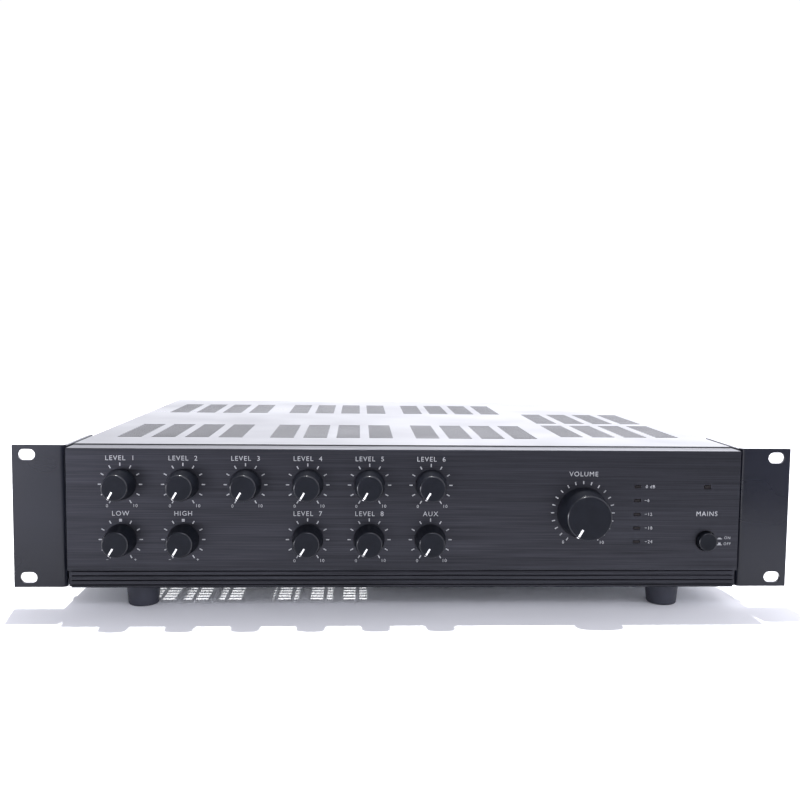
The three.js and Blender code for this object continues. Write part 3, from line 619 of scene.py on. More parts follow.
@dataclass(frozen=True)
class Finish:
    """What every finish has: a name, a colour, and how it shines."""

    name: str
    colour: Colour
    roughness: float
    metallic: float = 0.0
    specular: float = 0.5

    def tint(self, graph: Graph, factor: Field, first: float, second: float = 1.0) -> Field:
        """Varies the finish's colour.

        Args:
            graph: the material's graph.
            factor: share of the second shade.
            first: how light the first shade is.
            second: how light the second one is.

        Returns:
            The colour.
        """
        return graph.blend(factor, shade(self.colour, first), shade(self.colour, second))

    def dress(self, graph: Graph) -> None:
        """Builds the finish's nodes.

        Args:
            graph: the material's graph.
        """
        raise NotImplementedError


@dataclass(frozen=True)
class Brushed(Finish):
    """Metal brushed along X: long fine streaks that vary its tone, its gloss and its relief."""

    length: float = 60.0
    width: float = 0.45
    contrast: float = 0.4
    relief: float = 0.012
    streak_range: Corner = (0.36, 0.64)
    gloss: float = 0.07

    def dress(self, graph: Graph) -> None:
        """Builds the streaks."""
        broad = graph.noise((self.length * 1.7, self.width * 5, self.width * 4), 2.0)
        band = graph.noise((self.length, self.width * 2, self.width), 3.0, 3.1)
        hair = graph.noise((self.length / 3, self.width / 2, self.width / 4), 2.0, 7.7)
        streak = graph.limit(broad * 0.3 + band * 0.45 + hair * 0.25, *self.streak_range)
        rough = self.roughness
        graph.surface(
            Base_Color=self.tint(graph, streak, 1 - self.contrast, 1 + self.contrast),
            Roughness=graph.limit(streak, 0.0, 1.0, rough + self.gloss, rough - self.gloss),
            Metallic=self.metallic,
            Specular_IOR_Level=self.specular,
            Normal=graph.bumps(band * 0.5 + hair * 0.5, self.relief),
        )


@dataclass(frozen=True)
class Paint(Finish):
    """Satin paint on sheet metal: a fine orange peel, slow changes of tone, and light dust."""

    peel: float = 0.9
    relief: float = 0.01
    streaks: float = 0.0
    cloud: Point = (70.0, 70.0, 45.0)
    streak: Point = (60.0, 60.0, 1.2)
    contrast: float = 0.2
    dust_size: float = 0.5
    dust_range: Corner = (0.68, 0.78)
    dust_share: float = 0.35
    dust_shade: float = 2.2

    def dress(self, graph: Graph) -> None:
        """Builds the peel and the dust."""
        cloud = graph.noise(self.cloud, 2.0, 1.3)
        peel = graph.noise(self.peel, 1.0)
        drawn = graph.noise(self.streak, 2.0, 5.0)
        dust = graph.limit(graph.noise(self.dust_size, 1.0, 9.0), *self.dust_range)
        tone = graph.limit(cloud + (drawn - 0.5) * self.streaks, *WIDE_RANGE)
        colour = self.tint(graph, tone, 1 - self.contrast, 1 + self.contrast)
        rough = self.roughness
        graph.surface(
            Base_Color=graph.blend(dust * self.dust_share, colour, shade(self.colour, self.dust_shade)),
            Roughness=graph.limit(cloud, *WIDE_RANGE, rough - 0.05, rough + 0.07),
            Metallic=self.metallic,
            Specular_IOR_Level=self.specular,
            Normal=graph.bumps(peel, self.relief),
        )


@dataclass(frozen=True)
class Moulded(Finish):
    """Moulded plastic or rubber: a fine spark-eroded grain, faint wear, and polish on the front edges.

    The polish lies where the Y of the surface's normal is between the front face's and the wall's.
    """

    grain: float = 0.35
    relief: float = 0.012
    wear: float = 6.0
    polish: float = 0.0
    polish_roughness: float = 0.2
    polish_index: float = 1.8
    face_side: Corner = (-0.98, -0.9)
    wall_side: Corner = (-0.3, -0.45)

    def dress(self, graph: Graph) -> None:
        """Builds the grain and the wear, and the polish where the front rounds over."""
        grain = graph.noise(self.grain, 2.0)
        worn = graph.noise(self.wear, 3.0, 2.0)
        coat: dict[str, Value] = {}
        if self.polish:
            facing = graph.part(1, "Normal")
            edge = graph.limit(facing, *self.face_side) * graph.limit(facing, *self.wall_side)
            coat = {"Coat_Weight": edge * self.polish, "Coat_Roughness": self.polish_roughness,
                    "Coat_IOR": self.polish_index}
        rough = self.roughness
        graph.surface(
            Base_Color=self.tint(graph, graph.limit(worn, 0.35, 0.7), 0.9, 1.12),
            Roughness=graph.limit(worn, *COMMON_RANGE, rough - 0.03, rough + 0.03),
            Metallic=self.metallic,
            Specular_IOR_Level=self.specular,
            Normal=graph.bumps(grain, self.relief),
            **coat,
        )


@dataclass(frozen=True)
class Plated(Finish):
    """Plated metal: soft crystals that differ a little in tone, and fine rolling lines along X."""

    crystal: float = 5.0
    cloud: float = 25.0
    line: Point = (40.0, 0.4, 0.4)
    relief: float = 0.006

    def dress(self, graph: Graph) -> None:
        """Builds the crystals and the rolling lines."""
        crystal = graph.cells(self.crystal)
        cloud = graph.noise(self.cloud, 2.0, 4.0)
        lines = graph.noise(self.line, 2.0, 6.0)
        tone = graph.limit(crystal * 0.25 + cloud * 0.55 + lines * 0.2, 0.25, 0.7)
        graph.surface(
            Base_Color=self.tint(graph, tone, 0.82, 1.08),
            Roughness=graph.limit(tone, 0.0, 1.0, self.roughness + 0.08, self.roughness - 0.06),
            Metallic=self.metallic,
            Normal=graph.bumps(lines, self.relief),
        )


@dataclass(frozen=True)
class Turned(Finish):
    """Turned or drawn metal, with the tool's fine rings along Y."""

    pitch: float = 0.35
    cloud: float = 3.0
    relief: float = 0.01

    def dress(self, graph: Graph) -> None:
        """Builds the rings."""
        rings = graph.ridges(1, self.pitch)
        cloud = graph.noise(self.cloud, 2.0)
        graph.surface(
            Base_Color=self.tint(graph, graph.limit(cloud, *COMMON_RANGE), 0.85),
            Roughness=graph.limit(cloud, *COMMON_RANGE, self.roughness - 0.05, self.roughness + 0.1),
            Metallic=self.metallic,
            Normal=graph.bumps(rings, self.relief),
        )


@dataclass(frozen=True)
class Ink(Finish):
    """Silk-screened ink, a little thin in places."""

    mesh: Point = (0.5, 0.5, 0.35)
    thin_range: Corner = (0.35, 0.6)

    def dress(self, graph: Graph) -> None:
        """Builds the thin places."""
        thin = graph.limit(graph.noise(self.mesh, 3.0), *self.thin_range)
        graph.surface(
            Base_Color=self.tint(graph, thin, 0.72),
            Roughness=graph.limit(thin, 0.0, 1.0, self.roughness - 0.1, self.roughness),
        )


@dataclass(frozen=True)
class Lens(Finish):
    """Smoked plastic window: glossy, with fine upright ribs under its face."""

    cloud: float = 2.0
    rib: float = 0.5
    relief: float = 0.01

    def dress(self, graph: Graph) -> None:
        """Builds the ribs and the smoke."""
        smoke = graph.noise(self.cloud, 2.0)
        graph.surface(
            Base_Color=self.tint(graph, graph.limit(smoke, *COMMON_RANGE), 0.7),
            Roughness=graph.limit(smoke, *COMMON_RANGE, self.roughness, self.roughness + 0.06),
            Specular_IOR_Level=self.specular,
            Normal=graph.bumps(graph.ridges(0, self.rib), self.relief),
        )


@dataclass(frozen=True)
class Layered(Finish):
    """Stacked or wound stock: thin layers along one coordinate, each of its own tone."""

    index: int = 1
    pitch: float = 0.5
    relief: float = 0.08
    length: float = 18.0

    def dress(self, graph: Graph) -> None:
        """Builds the layers."""
        layers = graph.ridges(self.index, self.pitch)
        sizes = [self.pitch if i == self.index else self.length for i in range(3)]
        tone = graph.limit(graph.noise(sizes, 1.0), *COMMON_RANGE)
        graph.surface(
            Base_Color=self.tint(graph, tone, 0.7, 1.15),
            Roughness=graph.limit(tone, 0.0, 1.0, self.roughness + 0.08, self.roughness - 0.05),
            Metallic=self.metallic,
            Normal=graph.bumps(layers, self.relief),
        )


@dataclass(frozen=True)
class CircuitBoard(Finish):
    """Green board: copper tracks that show through the solder mask, and pads between them."""

    pitch: float = 2.54
    wide_pitch: float = 3.81
    area: float = 14.0
    pad_colour: Colour = (0.55, 0.56, 0.53)
    relief: float = 0.05

    def dress(self, graph: Graph) -> None:
        """Builds the tracks and pads."""
        along = graph.limit(graph.ridges(0, self.pitch), 0.72, 0.8)
        across = graph.limit(graph.ridges(1, self.wide_pitch), 0.75, 0.83)
        areas = graph.limit(graph.noise(self.area, 0.0), 0.49, 0.51)
        tracks = along * areas + across * (1 - areas)
        pads = graph.limit(graph.cells(self.pitch), 0.93, 0.94)
        graph.surface(
            Base_Color=graph.blend(pads, self.tint(graph, tracks, 1.0, 1.7), self.pad_colour),
            Roughness=graph.limit(pads, 0.0, 1.0, self.roughness, 0.3),
            Metallic=pads * 0.8,
            Normal=graph.bumps(tracks, self.relief),
        )


PANEL = Brushed("panel_anodised", (0.0245, 0.025, 0.031), 0.40, 0.85)
COVER = Paint("cover_paint", (0.030, 0.031, 0.034), 0.30)
EAR = Paint("ear_paint", (0.006, 0.007, 0.013), 0.28, specular=0.3, streaks=0.35)
REAR = Paint("rear_paint", (0.022, 0.023, 0.026), 0.42, specular=0.3)
ZINC = Plated("zinc_sheet", (0.55, 0.57, 0.60), 0.38, 1.0)
SCREW = Plated("nickel_screws", (0.36, 0.36, 0.365), 0.32, 1.0, crystal=1.5)
BLACK_SCREW = Plated("blackened_screws", (0.05, 0.05, 0.055), 0.35, 0.8, crystal=1.5)
KNOB = Moulded("knob_plastic", (0.007, 0.008, 0.0115), 0.42, specular=0.09, relief=0.002, polish=0.35)
BUTTON = Moulded("button_plastic", (0.006, 0.007, 0.010), 0.4, specular=0.09, relief=0.002, polish=0.35)
RUBBER = Moulded("foot_rubber", (0.028, 0.030, 0.043), 0.7, grain=0.8, relief=0.03)
HOUSING = Moulded("black_mouldings", (0.012, 0.012, 0.014), 0.45, specular=0.3)
SHAFT = Turned("turned_steel", (0.62, 0.62, 0.62), 0.3, 1.0)
BRASS = Turned("pin_metal", (0.36, 0.32, 0.22), 0.36, 1.0, pitch=0.6)
PRINT = Ink("panel_ink", (0.34, 0.345, 0.36), 0.6)
POINTER = Ink("pointer_ink", (0.9, 0.9, 0.9), 0.5)
LENS = Lens("smoked_window", (0.009, 0.007, 0.008), 0.3, specular=0.2)
BOARD = CircuitBoard("green_board", (0.02, 0.11, 0.035), 0.4)
CORE = Layered("core_plates", (0.10, 0.10, 0.11), 0.45, 0.7)
COIL = Layered("coil_tape", (0.55, 0.36, 0.06), 0.4, index=2, pitch=1.4, relief=0.05)
SINK = Layered("sink_extrusion", (0.62, 0.63, 0.65), 0.4, 1.0, index=0, pitch=0.6, relief=0.02)
SLEEVE = Moulded("capacitor_sleeve", (0.012, 0.02, 0.06), 0.3, grain=4.0, relief=0.03)
WIRE = Moulded("wire_cover", (0.3, 0.3, 0.31), 0.5, grain=1.5, relief=0.03)
RIBBON = Layered("ribbon_cable", (0.42, 0.42, 0.44), 0.5, index=0, pitch=1.27, relief=0.25)


@lru_cache(maxsize=None)
def material(finish: Finish) -> bpy.types.Material:
    """Makes the material of a finish once.

    Args:
        finish: the finish.

    Returns:
        Its material.
    """
    made = bpy.data.materials.new(finish.name)
    made.use_nodes = True
    finish.dress(Graph(made.node_tree))
    return made


@dataclass(frozen=True)
class Seat:
    """Where a piece belongs: the body it rides on, its material slot, and the CAD nodes it stands for."""

    body: str
    slot: str
    nodes: tuple[str, ...] = ()


def set_piece(form: Form, name: str, seat: Seat, finish: Finish, wall: float = 0.0,
              edge: float = 0.0) -> bpy.types.Object:
    """Writes a shape out as a piece of the amplifier.

    Args:
        form: the shape, which is used up.
        name: the piece's name.
        seat: where it belongs.
        finish: its finish.
        wall: thickness that an open shell gets inwards.
        edge: rounding of the edges, done after the wall.

    Returns:
        The piece.
    """
    mesh = bpy.data.meshes.new(name)
    bmesh.ops.scale(form.mesh, vec=(MM, MM, MM), verts=form.mesh.verts[:])
    form.mesh.to_mesh(mesh)
    form.mesh.free()
    mesh.shade_smooth()
    mesh.set_sharp_from_angle(angle=math.radians(SMOOTH_LIMIT))
    mesh.materials.append(material(finish))
    piece = bpy.data.objects.new(name, mesh)
    bpy.context.scene.collection.objects.link(piece)
    if wall:
        step = piece.modifiers.new("wall", "SOLIDIFY")
        step.thickness, step.offset, step.use_even_offset = wall * MM, -1.0, True
    if edge:
        step = piece.modifiers.new("edge", "BEVEL")
        step.width, step.segments, step.limit_method = edge * MM, 2, "ANGLE"
        step.angle_limit = math.radians(SMOOTH_LIMIT)
        step.use_clamp_overlap = False
    step = piece.modifiers.new("normals", "WEIGHTED_NORMAL")
    step.keep_sharp = True
    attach(piece, seat.body)
    if seat.nodes:
        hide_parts(*seat.nodes)
    log.info("made %s: %d faces", name, len(mesh.polygons))
    return piece


def fillet(centre: Corner, radius: float, start: float, end: float, steps: int) -> list[Corner]:
    """Lists points on an arc, both ends included.

    Args:
        centre: middle of the arc.
        radius: its radius.
        start: first angle in degrees.
        end: last angle.
        steps: steps between them.

    Returns:
        The points.
    """
    angles = [math.radians(start + (end - start) * i / steps) for i in range(steps + 1)]
    return [(centre[0] + radius * math.cos(a), centre[1] + radius * math.sin(a)) for a in angles]


PAN_PROFILE = ((0.0, 0.0), (1.0, 0.0), (1.0, 0.35), (0.88, 0.8), (0.6, 0.965), (0.0, 1.0))
CROSS_REACH = 0.52
CROSS_HALF = 0.13
CROSS_SPAN = (0.45, 1.3)


def pan_screw(axis: Axis, seat_at: float, outward: int, u: float, v: float, radius: float,
              height: float) -> Form:
    """Makes the head of a pan screw with a cross recess.

    Args:
        axis: the direction of the screw.
        seat_at: where its head sits on the axis.
        outward: 1 if the head points up the axis, and -1 if down.
        u: place along the first direction across the axis.
        v: place along the second.
        radius: radius of the head.
        height: its height.

    Returns:
        The head.
    """
    tip = height * outward
    profile = [(share * radius, seat_at + along * tip) for share, along in PAN_PROFILE]
    head = Form.lathe(profile, axis, axis.point(0.0, u, v), 32)
    arm, half = radius * CROSS_REACH, radius * CROSS_HALF
    plus = [(half, half), (arm, half), (arm, -half), (half, -half), (half, -arm), (-half, -arm),
            (-half, -half), (-arm, -half), (-arm, half), (-half, half), (-half, arm), (half, arm)]
    ends = sorted(seat_at + tip * share for share in CROSS_SPAN)
    return head.cut(Form.prism([(u + a, v + b) for a, b in plus], axis, *ends))


def slab(x: float, z: float, width: float, height: float, span: Corner, corner: float = 0.0,
         steps: int = 4) -> Form:
    """Makes an upright slab, drawn out along Y.

    Args:
        x: its centre.
        z: its centre.
        width: size along X.
        height: size along Z.
        span: where it starts and ends on Y.
        corner: radius of its four corners.
        steps: segments of each corner.

    Returns:
        The slab.
    """
    u, v = width / 2, height / 2
    corners = [(x - u, z - v), (x + u, z - v), (x + u, z + v), (x - u, z + v)]
    return Form.prism(corners, Axis.Y, *span, corner=corner, steps=steps)


def knurled(centre: Corner, radius: float, span: Corner, teeth: int = 28, tooth: float = 0.35) -> Form:
    """Makes a round nut or cap with a serrated side, its axis along Y.

    Args:
        centre: X and Z of its axis.
        radius: radius over the teeth.
        span: where it starts and ends on Y.
        teeth: how many teeth it has.
        tooth: how deep they are.

    Returns:
        The nut.
    """
    angles = [FULL_TURN * i / (2 * teeth) for i in range(2 * teeth)]
    radii = [radius - tooth * (i % 2) for i in range(2 * teeth)]
    outline = [(centre[0] + r * math.cos(a), centre[1] + r * math.sin(a)) for r, a in zip(radii, angles)]
    return Form.prism(outline, Axis.Y, *span)


@dataclass
class FrontPanel:
    """The extruded front panel: brushed face, top return, grooves along its foot, and all its holes."""

    forward_wall: float = 3.0
    return_wall: float = 2.0
    chamfer: float = 0.6
    groove_count: int = 4
    groove_pitch: float = 2.85
    groove_rise: float = 1.6
    groove_height: float = 0.8
    groove_depth: float = 3.2
    groove_slot: float = 0.4
    lip_depth: float = 0.3
    foot_chamfer: float = 0.3
    groove_end: float = 2.3
    thick_margin: float = 1.65
    thick_depth: float = 5.0
    bushing_radius: float = 4.9
    button_radius: float = 6.35
    meter_window: Corner = (4.3, 1.8)
    lamp_window: Corner = (4.5, 2.5)
    window_corner: float = 0.3
    meter_count: int = 5
    over: float = 2.0
    edge: float = 0.16

    def grooves(self, box: Extent) -> list[float]:
        """Returns the height of each groove's middle, lowest first."""
        return [box.low.z + self.groove_rise + i * self.groove_pitch for i in range(self.groove_count)]

    def outline(self, box: Extent) -> list[Corner]:
        """Lists the section of the extrusion.

        Args:
            box: the panel's box.

        Returns:
            Its corners as Y and Z.
        """
        (face, foot), (back, top) = box.low.yz, box.high.yz
        grooves = self.grooves(box)
        thick_top = grooves[-1] + self.groove_height / 2 + self.thick_margin
        section = [
            (face + self.thick_depth, foot), (face + self.thick_depth, thick_top),
            (face + self.forward_wall, thick_top), (face + self.forward_wall, top - self.return_wall),
            (back, top - self.return_wall), (back, top),
            *[(face + self.chamfer - y, top - self.chamfer + z)
              for y, z in fillet((0.0, 0.0), self.chamfer, 90, 0, 4)],
        ]
        for rise in reversed(grooves):
            high, low = rise + self.groove_height / 2, rise - self.groove_height / 2
            floor, lip = face + self.groove_depth, high - self.groove_slot
            section += [(face, high), (floor, high), (floor, lip), (face + self.lip_depth, lip), (face, low)]
        return section + [(face, foot + self.foot_chamfer), (face + self.foot_chamfer, foot)]

    def build(self) -> None:
        """Makes the panel."""
        box = Extent.of("front_panel")
        left, right = box.low.x, box.high.x
        face, foot = box.low.y, box.low.z
        span = (face - self.over, face + self.thick_depth + self.over)
        panel = Form.prism(self.outline(box), Axis.X, left, right)
        tools = [Form.rod(self.bushing_radius, Axis.Y, joint_centre(f"{name}_turn"), span)
                 for name in DIAL_NAMES]
        tools.append(Form.rod(self.button_radius, Axis.Y, Extent.of("power_button").middle, span))
        meter, lamp = Extent.of("level_meter").middle, Extent.of("power_lamp").middle
        rows = spread(meter.z, self.meter_count, METER_PITCH)
        windows = [(meter.x, row, *self.meter_window) for row in rows]
        for x, z, width, height in [*windows, (lamp.x, lamp.z, *self.lamp_window)]:
            tools.append(slab(x, z, width, height, span, self.window_corner))
        ridge_top = self.grooves(box)[-1] + self.groove_height / 2
        for side in (-1, 1):
            ends = sorted((side * (right - self.groove_end), side * (right + self.over)))
            tools.append(Form.bar((ends[0], face - self.over, foot - self.over),
                                  (ends[1], face + self.groove_depth, ridge_top)))
        panel.cut(*tools)
        set_piece(panel, "front_panel_face", Seat(CASE, "panel", ("front_panel",)), PANEL, edge=self.edge)


LEVEL_NAMES = [f"level_{i}" for i in range(1, 9)]
TONE_NAMES = ["low_tone", "high_tone"]
SMALL_NAMES = [*LEVEL_NAMES, *TONE_NAMES, "module"]
DIAL_NAMES = [*SMALL_NAMES, "master"]
LABELS = {**{name: f"LEVEL  {i}" for i, name in enumerate(LEVEL_NAMES, 1)},
          "low_tone": "LOW", "high_tone": "HIGH", "module": "AUX", "master": "VOLUME"}


@dataclass
class Dial:
    """A tapered knob with a filleted face and a white pointer."""

    name: str
    base: float = 9.6
    face: float = 8.0
    fillet_radius: float = 1.1
    pointer_start: float = 2.7
    pointer_reach: float = 8.15
    pointer_width: float = 1.0
    rest_turn: float = -150.0
    recess: float = 0.05
    bore: float = 3.3
    rim: float = 1.2
    skirt: float = 2.2
    cap: float = 2.0
    pointer_sink: float = 0.2
    corner_cut: float = 0.3
    sides: int = 96

    def build(self) -> None:
        """Makes the knob and its pointer."""
        box, centre = Extent.of(f"{self.name}_knob"), joint_centre(f"{self.name}_turn")
        front, back = box.low.y + self.recess, box.high.y
        slope = (self.base - self.face) / (back - front)
        lean = math.degrees(math.atan(slope))
        radius = self.fillet_radius
        shoulder = (self.face - radius, front + radius)
        profile = [(0.0, front), *fillet(shoulder, radius, -90, -lean, 6), (self.base, back),
                   (self.base - self.rim, back), (self.base - self.rim, back - self.skirt),
                   (self.bore, back - self.skirt), (self.bore, front + self.cap), (0.0, front + self.cap)]
        body = f"{self.name}_dial"
        knob = Form.lathe(profile, Axis.Y, centre, self.sides)
        set_piece(knob, f"{self.name}_knob_shell", Seat(body, "knob", (f"{self.name}_knob",)), KNOB)
        side, cut = self.face + slope * radius, radius * self.corner_cut
        depth = (self.pointer_reach - self.face) / slope
        outer = [(self.pointer_start, box.low.y), (self.face - radius, box.low.y),
                 (self.face - cut + self.recess, front + cut), (side + self.recess, front + radius),
                 (self.pointer_reach + self.recess, front + depth)]
        inner = [(r - self.pointer_sink, y + self.pointer_sink) for r, y in reversed(outer)]
        outline = [(y, centre.z + r) for r, y in [*outer, *inner]]
        half = self.pointer_width / 2
        pointer = Form.prism(outline, Axis.X, centre.x - half, centre.x + half)
        pointer.turn(Axis.Y, self.rest_turn, centre)
        set_piece(pointer, f"{self.name}_pointer", Seat(body, "pointer"), POINTER)


@dataclass
class PanelPrint:
    """The printed scales and words of the front panel."""

    depth: float = 0.04
    sink: float = 0.03
    tick: tuple[float, float, float] = (11.3, 13.3, 0.65)
    master_tick: tuple[float, float, float] = (18.0, 20.0, 0.65)
    tick_count: int = 11
    master_tick_count: int = 21
    centre_mark: float = 1.7
    centre_drop: float = 0.4
    sweep: float = 150.0
    label_height: float = 3.0
    label_rise: float = 16.0
    master_label_rise: float = 24.2
    number_height: float = 2.0
    power_rise: float = 17.0
    state_height: float = 1.75
    state_gap: float = 13.6
    sign_gap: float = 8.7
    sign_width: float = 3.0
    sign_line: float = 0.45
    sign_drop: float = 0.6
    block_width: float = 1.5

    def __post_init__(self) -> None:
        """Finds the panel's face."""
        self.face = Extent.of("front_panel").low.y

    def bar(self, x: float, z: float, width: float, height: float) -> Form:
        """Makes a printed bar.

        Args:
            x: its centre.
            z: its centre.
            width: size along X.
            height: size along Z.

        Returns:
            The bar.
        """
        return Form.bar((x - width / 2, self.face - self.depth, z - height / 2),
                        (x + width / 2, self.face + self.sink, z + height / 2))

    def word(self, text: str, height: float, x: float, z: float) -> Form:
        """Makes a printed word.

        Args:
            text: the word.
            height: height of its capitals.
            x: its centre.
            z: its centre.

        Returns:
            The letters.
        """
        return Form.text(text, height, (x, self.face, z), self.depth)

    def scale(self, name: str) -> list[Form]:
        """Makes the ticks and end numbers round a dial.

        Args:
            name: the dial's name.

        Returns:
            The printed shapes.
        """
        centre = joint_centre(f"{name}_turn")
        large, tone = name == "master", name in TONE_NAMES
        inner, outer, width = self.master_tick if large else self.tick
        count = self.master_tick_count if large else self.tick_count
        middle = centre.z + (inner + outer) / 2
        made = []
        for angle in spread(0.0, count, 2 * self.sweep / (count - 1)):
            if tone and angle == 0.0:
                made.append(self.bar(centre.x, middle - self.centre_drop, self.centre_mark, self.centre_mark))
                continue
            tick = self.bar(centre.x, middle, width, outer - inner)
            made.append(tick.turn(Axis.Y, angle, centre))
        if large:
            ends = [("0", -12.0, -18.5), ("10", 12.2, -18.7)]
        elif tone:
            ends = [("−", -8.3, -12.6), ("+", 8.6, -12.6)]
        else:
            ends = [("0", -8.0, -13.3), ("10", 8.9, -13.2)]
        made += [self.word(text, self.number_height, centre.x + x, centre.z + z) for text, x, z in ends]
        rise = self.master_label_rise if large else self.label_rise
        made.append(self.word(LABELS[name], self.label_height, centre.x, centre.z + rise))
        return made

    def meter_scale(self) -> list[Form]:
        """Makes the numbers beside the level meter.

        Returns:
            The printed shapes.
        """
        meter = Extent.of("level_meter").middle
        marks = ["0 dB", "−6", "−12", "−18", "−24"]
        shifts = [7.8, 5.9, 7.1, 7.4, 7.7]
        rows = reversed(spread(meter.z, len(marks), METER_PITCH))
        return [self.word(mark, self.number_height, meter.x + shift, z)
                for mark, shift, z in zip(marks, shifts, rows)]

    def power_marks(self) -> list[Form]:
        """Makes the words and signs by the power button.

        Returns:
            The printed shapes.
        """
        x, _, z = Extent.of("power_button").middle
        made = [self.word("MAINS", self.label_height, x, z + self.power_rise)]
        sign = x + self.sign_gap
        for state, rise, block in (("ON", 1.85, 0.5), ("OFF", -1.95, 1.2)):
            line = z + rise - self.sign_drop
            made.append(self.word(state, self.state_height, x + self.state_gap, z + rise))
            made.append(self.bar(sign, line, self.sign_width, self.sign_line))
            made.append(self.bar(sign, line + (self.sign_line + block) / 2, self.block_width, block))
        return made

    def build(self) -> None:
        """Prints everything as one piece for each kind of mark."""
        seat = Seat(CASE, "print")
        for name in DIAL_NAMES:
            set_piece(joined(self.scale(name)), f"{name}_scale", seat, PRINT)
        for name, made in (("meter_scale", self.meter_scale()), ("power_marks", self.power_marks())):
            set_piece(joined(made), name, seat, PRINT)


DISH_PROFILE = ((0.0, 1.0), (0.55, 0.7), (0.85, 0.2))


@dataclass
class PowerButton:
    """The round push button on its stem."""

    radius: float = 5.8
    fillet_radius: float = 0.9
    stem: float = 2.0
    back_depth: float = 7.0
    dish: float = 0.25
    sides: int = 72

    def build(self) -> None:
        """Makes the button."""
        box = Extent.of("power_button")
        front, end = box.low.y, box.high.y
        back = front + self.back_depth
        rim = self.radius - self.fillet_radius
        hollow = [(rim * share, front + self.dish * depth) for share, depth in DISH_PROFILE]
        edge = fillet((rim, front + self.fillet_radius), self.fillet_radius, -90, 0, 8)
        profile = [*hollow, *edge, (self.radius, back), (self.stem, back), (self.stem, end), (0.0, end)]
        button = Form.lathe(profile, Axis.Y, box.middle, self.sides)
        set_piece(button, "power_button_cap", Seat("power_button", "button", ("power_button",)), BUTTON)


@dataclass
class TopCover:
    """The cover: one sheet with every vent slot, bent down over both sides.

    The two groups at the right start further back and stand closer together than the others.
    """

    sheet: float = 1.2
    bend: float = 2.0
    slot: float = 3.4
    pitch: float = 6.2
    web: float = 6.1
    width: float = 16.0
    columns: int = 4
    inner_left: float = 7.65
    outer_left: float = 108.0
    front_start: float = 53.5
    rear_end: float = 51.7
    rows: int = 13
    right_start: float = 65.0
    right_gap: float = 15.9
    right_rows: int = 12
    slot_corner: float = 0.7
    bend_steps: int = 8
    edge: float = 0.12

    def slots(self, box: Extent, face: float) -> list[tuple[float, float, float, float]]:
        """Lists the vent slots.

        Args:
            box: the cover's box.
            face: Y of the panel's face, which the front rows are counted from.

        Returns:
            Left, front, right and back of each.
        """
        run = (self.rows - 1) * self.pitch + self.slot
        right_run = (self.right_rows - 1) * self.pitch + self.slot
        plain = [(face + self.front_start, self.rows), (box.high.y - self.rear_end - run, self.rows)]
        first = face + self.right_start
        right = [(first, self.right_rows), (first + right_run + self.right_gap, self.right_rows)]
        group = self.columns * self.width + (self.columns - 1) * self.web
        lefts = [(-self.outer_left - group, plain), (-self.inner_left - group, plain),
                 (self.inner_left, plain), (self.outer_left, right)]
        return [(x, y, x + self.width, y + self.slot)
                for left, starts in lefts for start, count in starts
                for x in (left + i * (self.width + self.web) for i in range(self.columns))
                for y in (start + i * self.pitch for i in range(count))]

    def build(self) -> None:
        """Makes the cover."""
        box = Extent.of("top_cover")
        top, foot, half = box.high.z, box.low.z, box.high.x
        flat = half - self.bend
        form = Form()
        loops = [(-flat, box.low.y, flat, box.high.y), *self.slots(box, Extent.of("front_panel").low.y)]
        for number, (x0, y0, x1, y1) in enumerate(loops):
            corners = [form.mesh.verts.new((x, y, top)) for x, y in ((x0, y0), (x1, y0), (x1, y1), (x0, y1))]
            form.mesh.faces.new(corners)
            if number:
                bmesh.ops.bevel(form.mesh, geom=corners, offset=self.slot_corner, offset_type="OFFSET",
                                affect="VERTICES", segments=2, profile=0.5, material=-1)
        bmesh.ops.delete(form.mesh, geom=form.mesh.faces[:], context="FACES_ONLY")
        bmesh.ops.triangle_fill(form.mesh, use_beauty=True, edges=form.mesh.edges[:])
        for side in (-1, 1):
            edge = [e for e in form.mesh.edges if all(abs(v.co.x - side * flat) < MM for v in e.verts)]
            centre = (side * flat, 0, top - self.bend)
            bent = bmesh.ops.spin(form.mesh, geom=[*edge[0].verts, edge[0]], cent=centre, axis=(0, side, 0),
                                  angle=math.pi / 2, steps=self.bend_steps, use_merge=False)["geom_last"]
            last = of_kind(bent, bmesh.types.BMEdge)
            low = of_kind(bmesh.ops.extrude_edge_only(form.mesh, edges=last)["geom"], bmesh.types.BMVert)
            bmesh.ops.translate(form.mesh, vec=(0, 0, foot - top + self.bend), verts=low)
        bmesh.ops.remove_doubles(form.mesh, verts=form.mesh.verts[:], dist=MERGE)
        form.turned_out()
        roof = next(face for face in form.mesh.faces if abs(face.normal.z) > 0.9)
        if roof.normal.z < 0:
            bmesh.ops.reverse_faces(form.mesh, faces=form.mesh.faces[:])
        seat = Seat(CASE, "cover", ("top_cover",))
        set_piece(form, "cover_sheet", seat, COVER, wall=self.sheet, edge=self.edge)


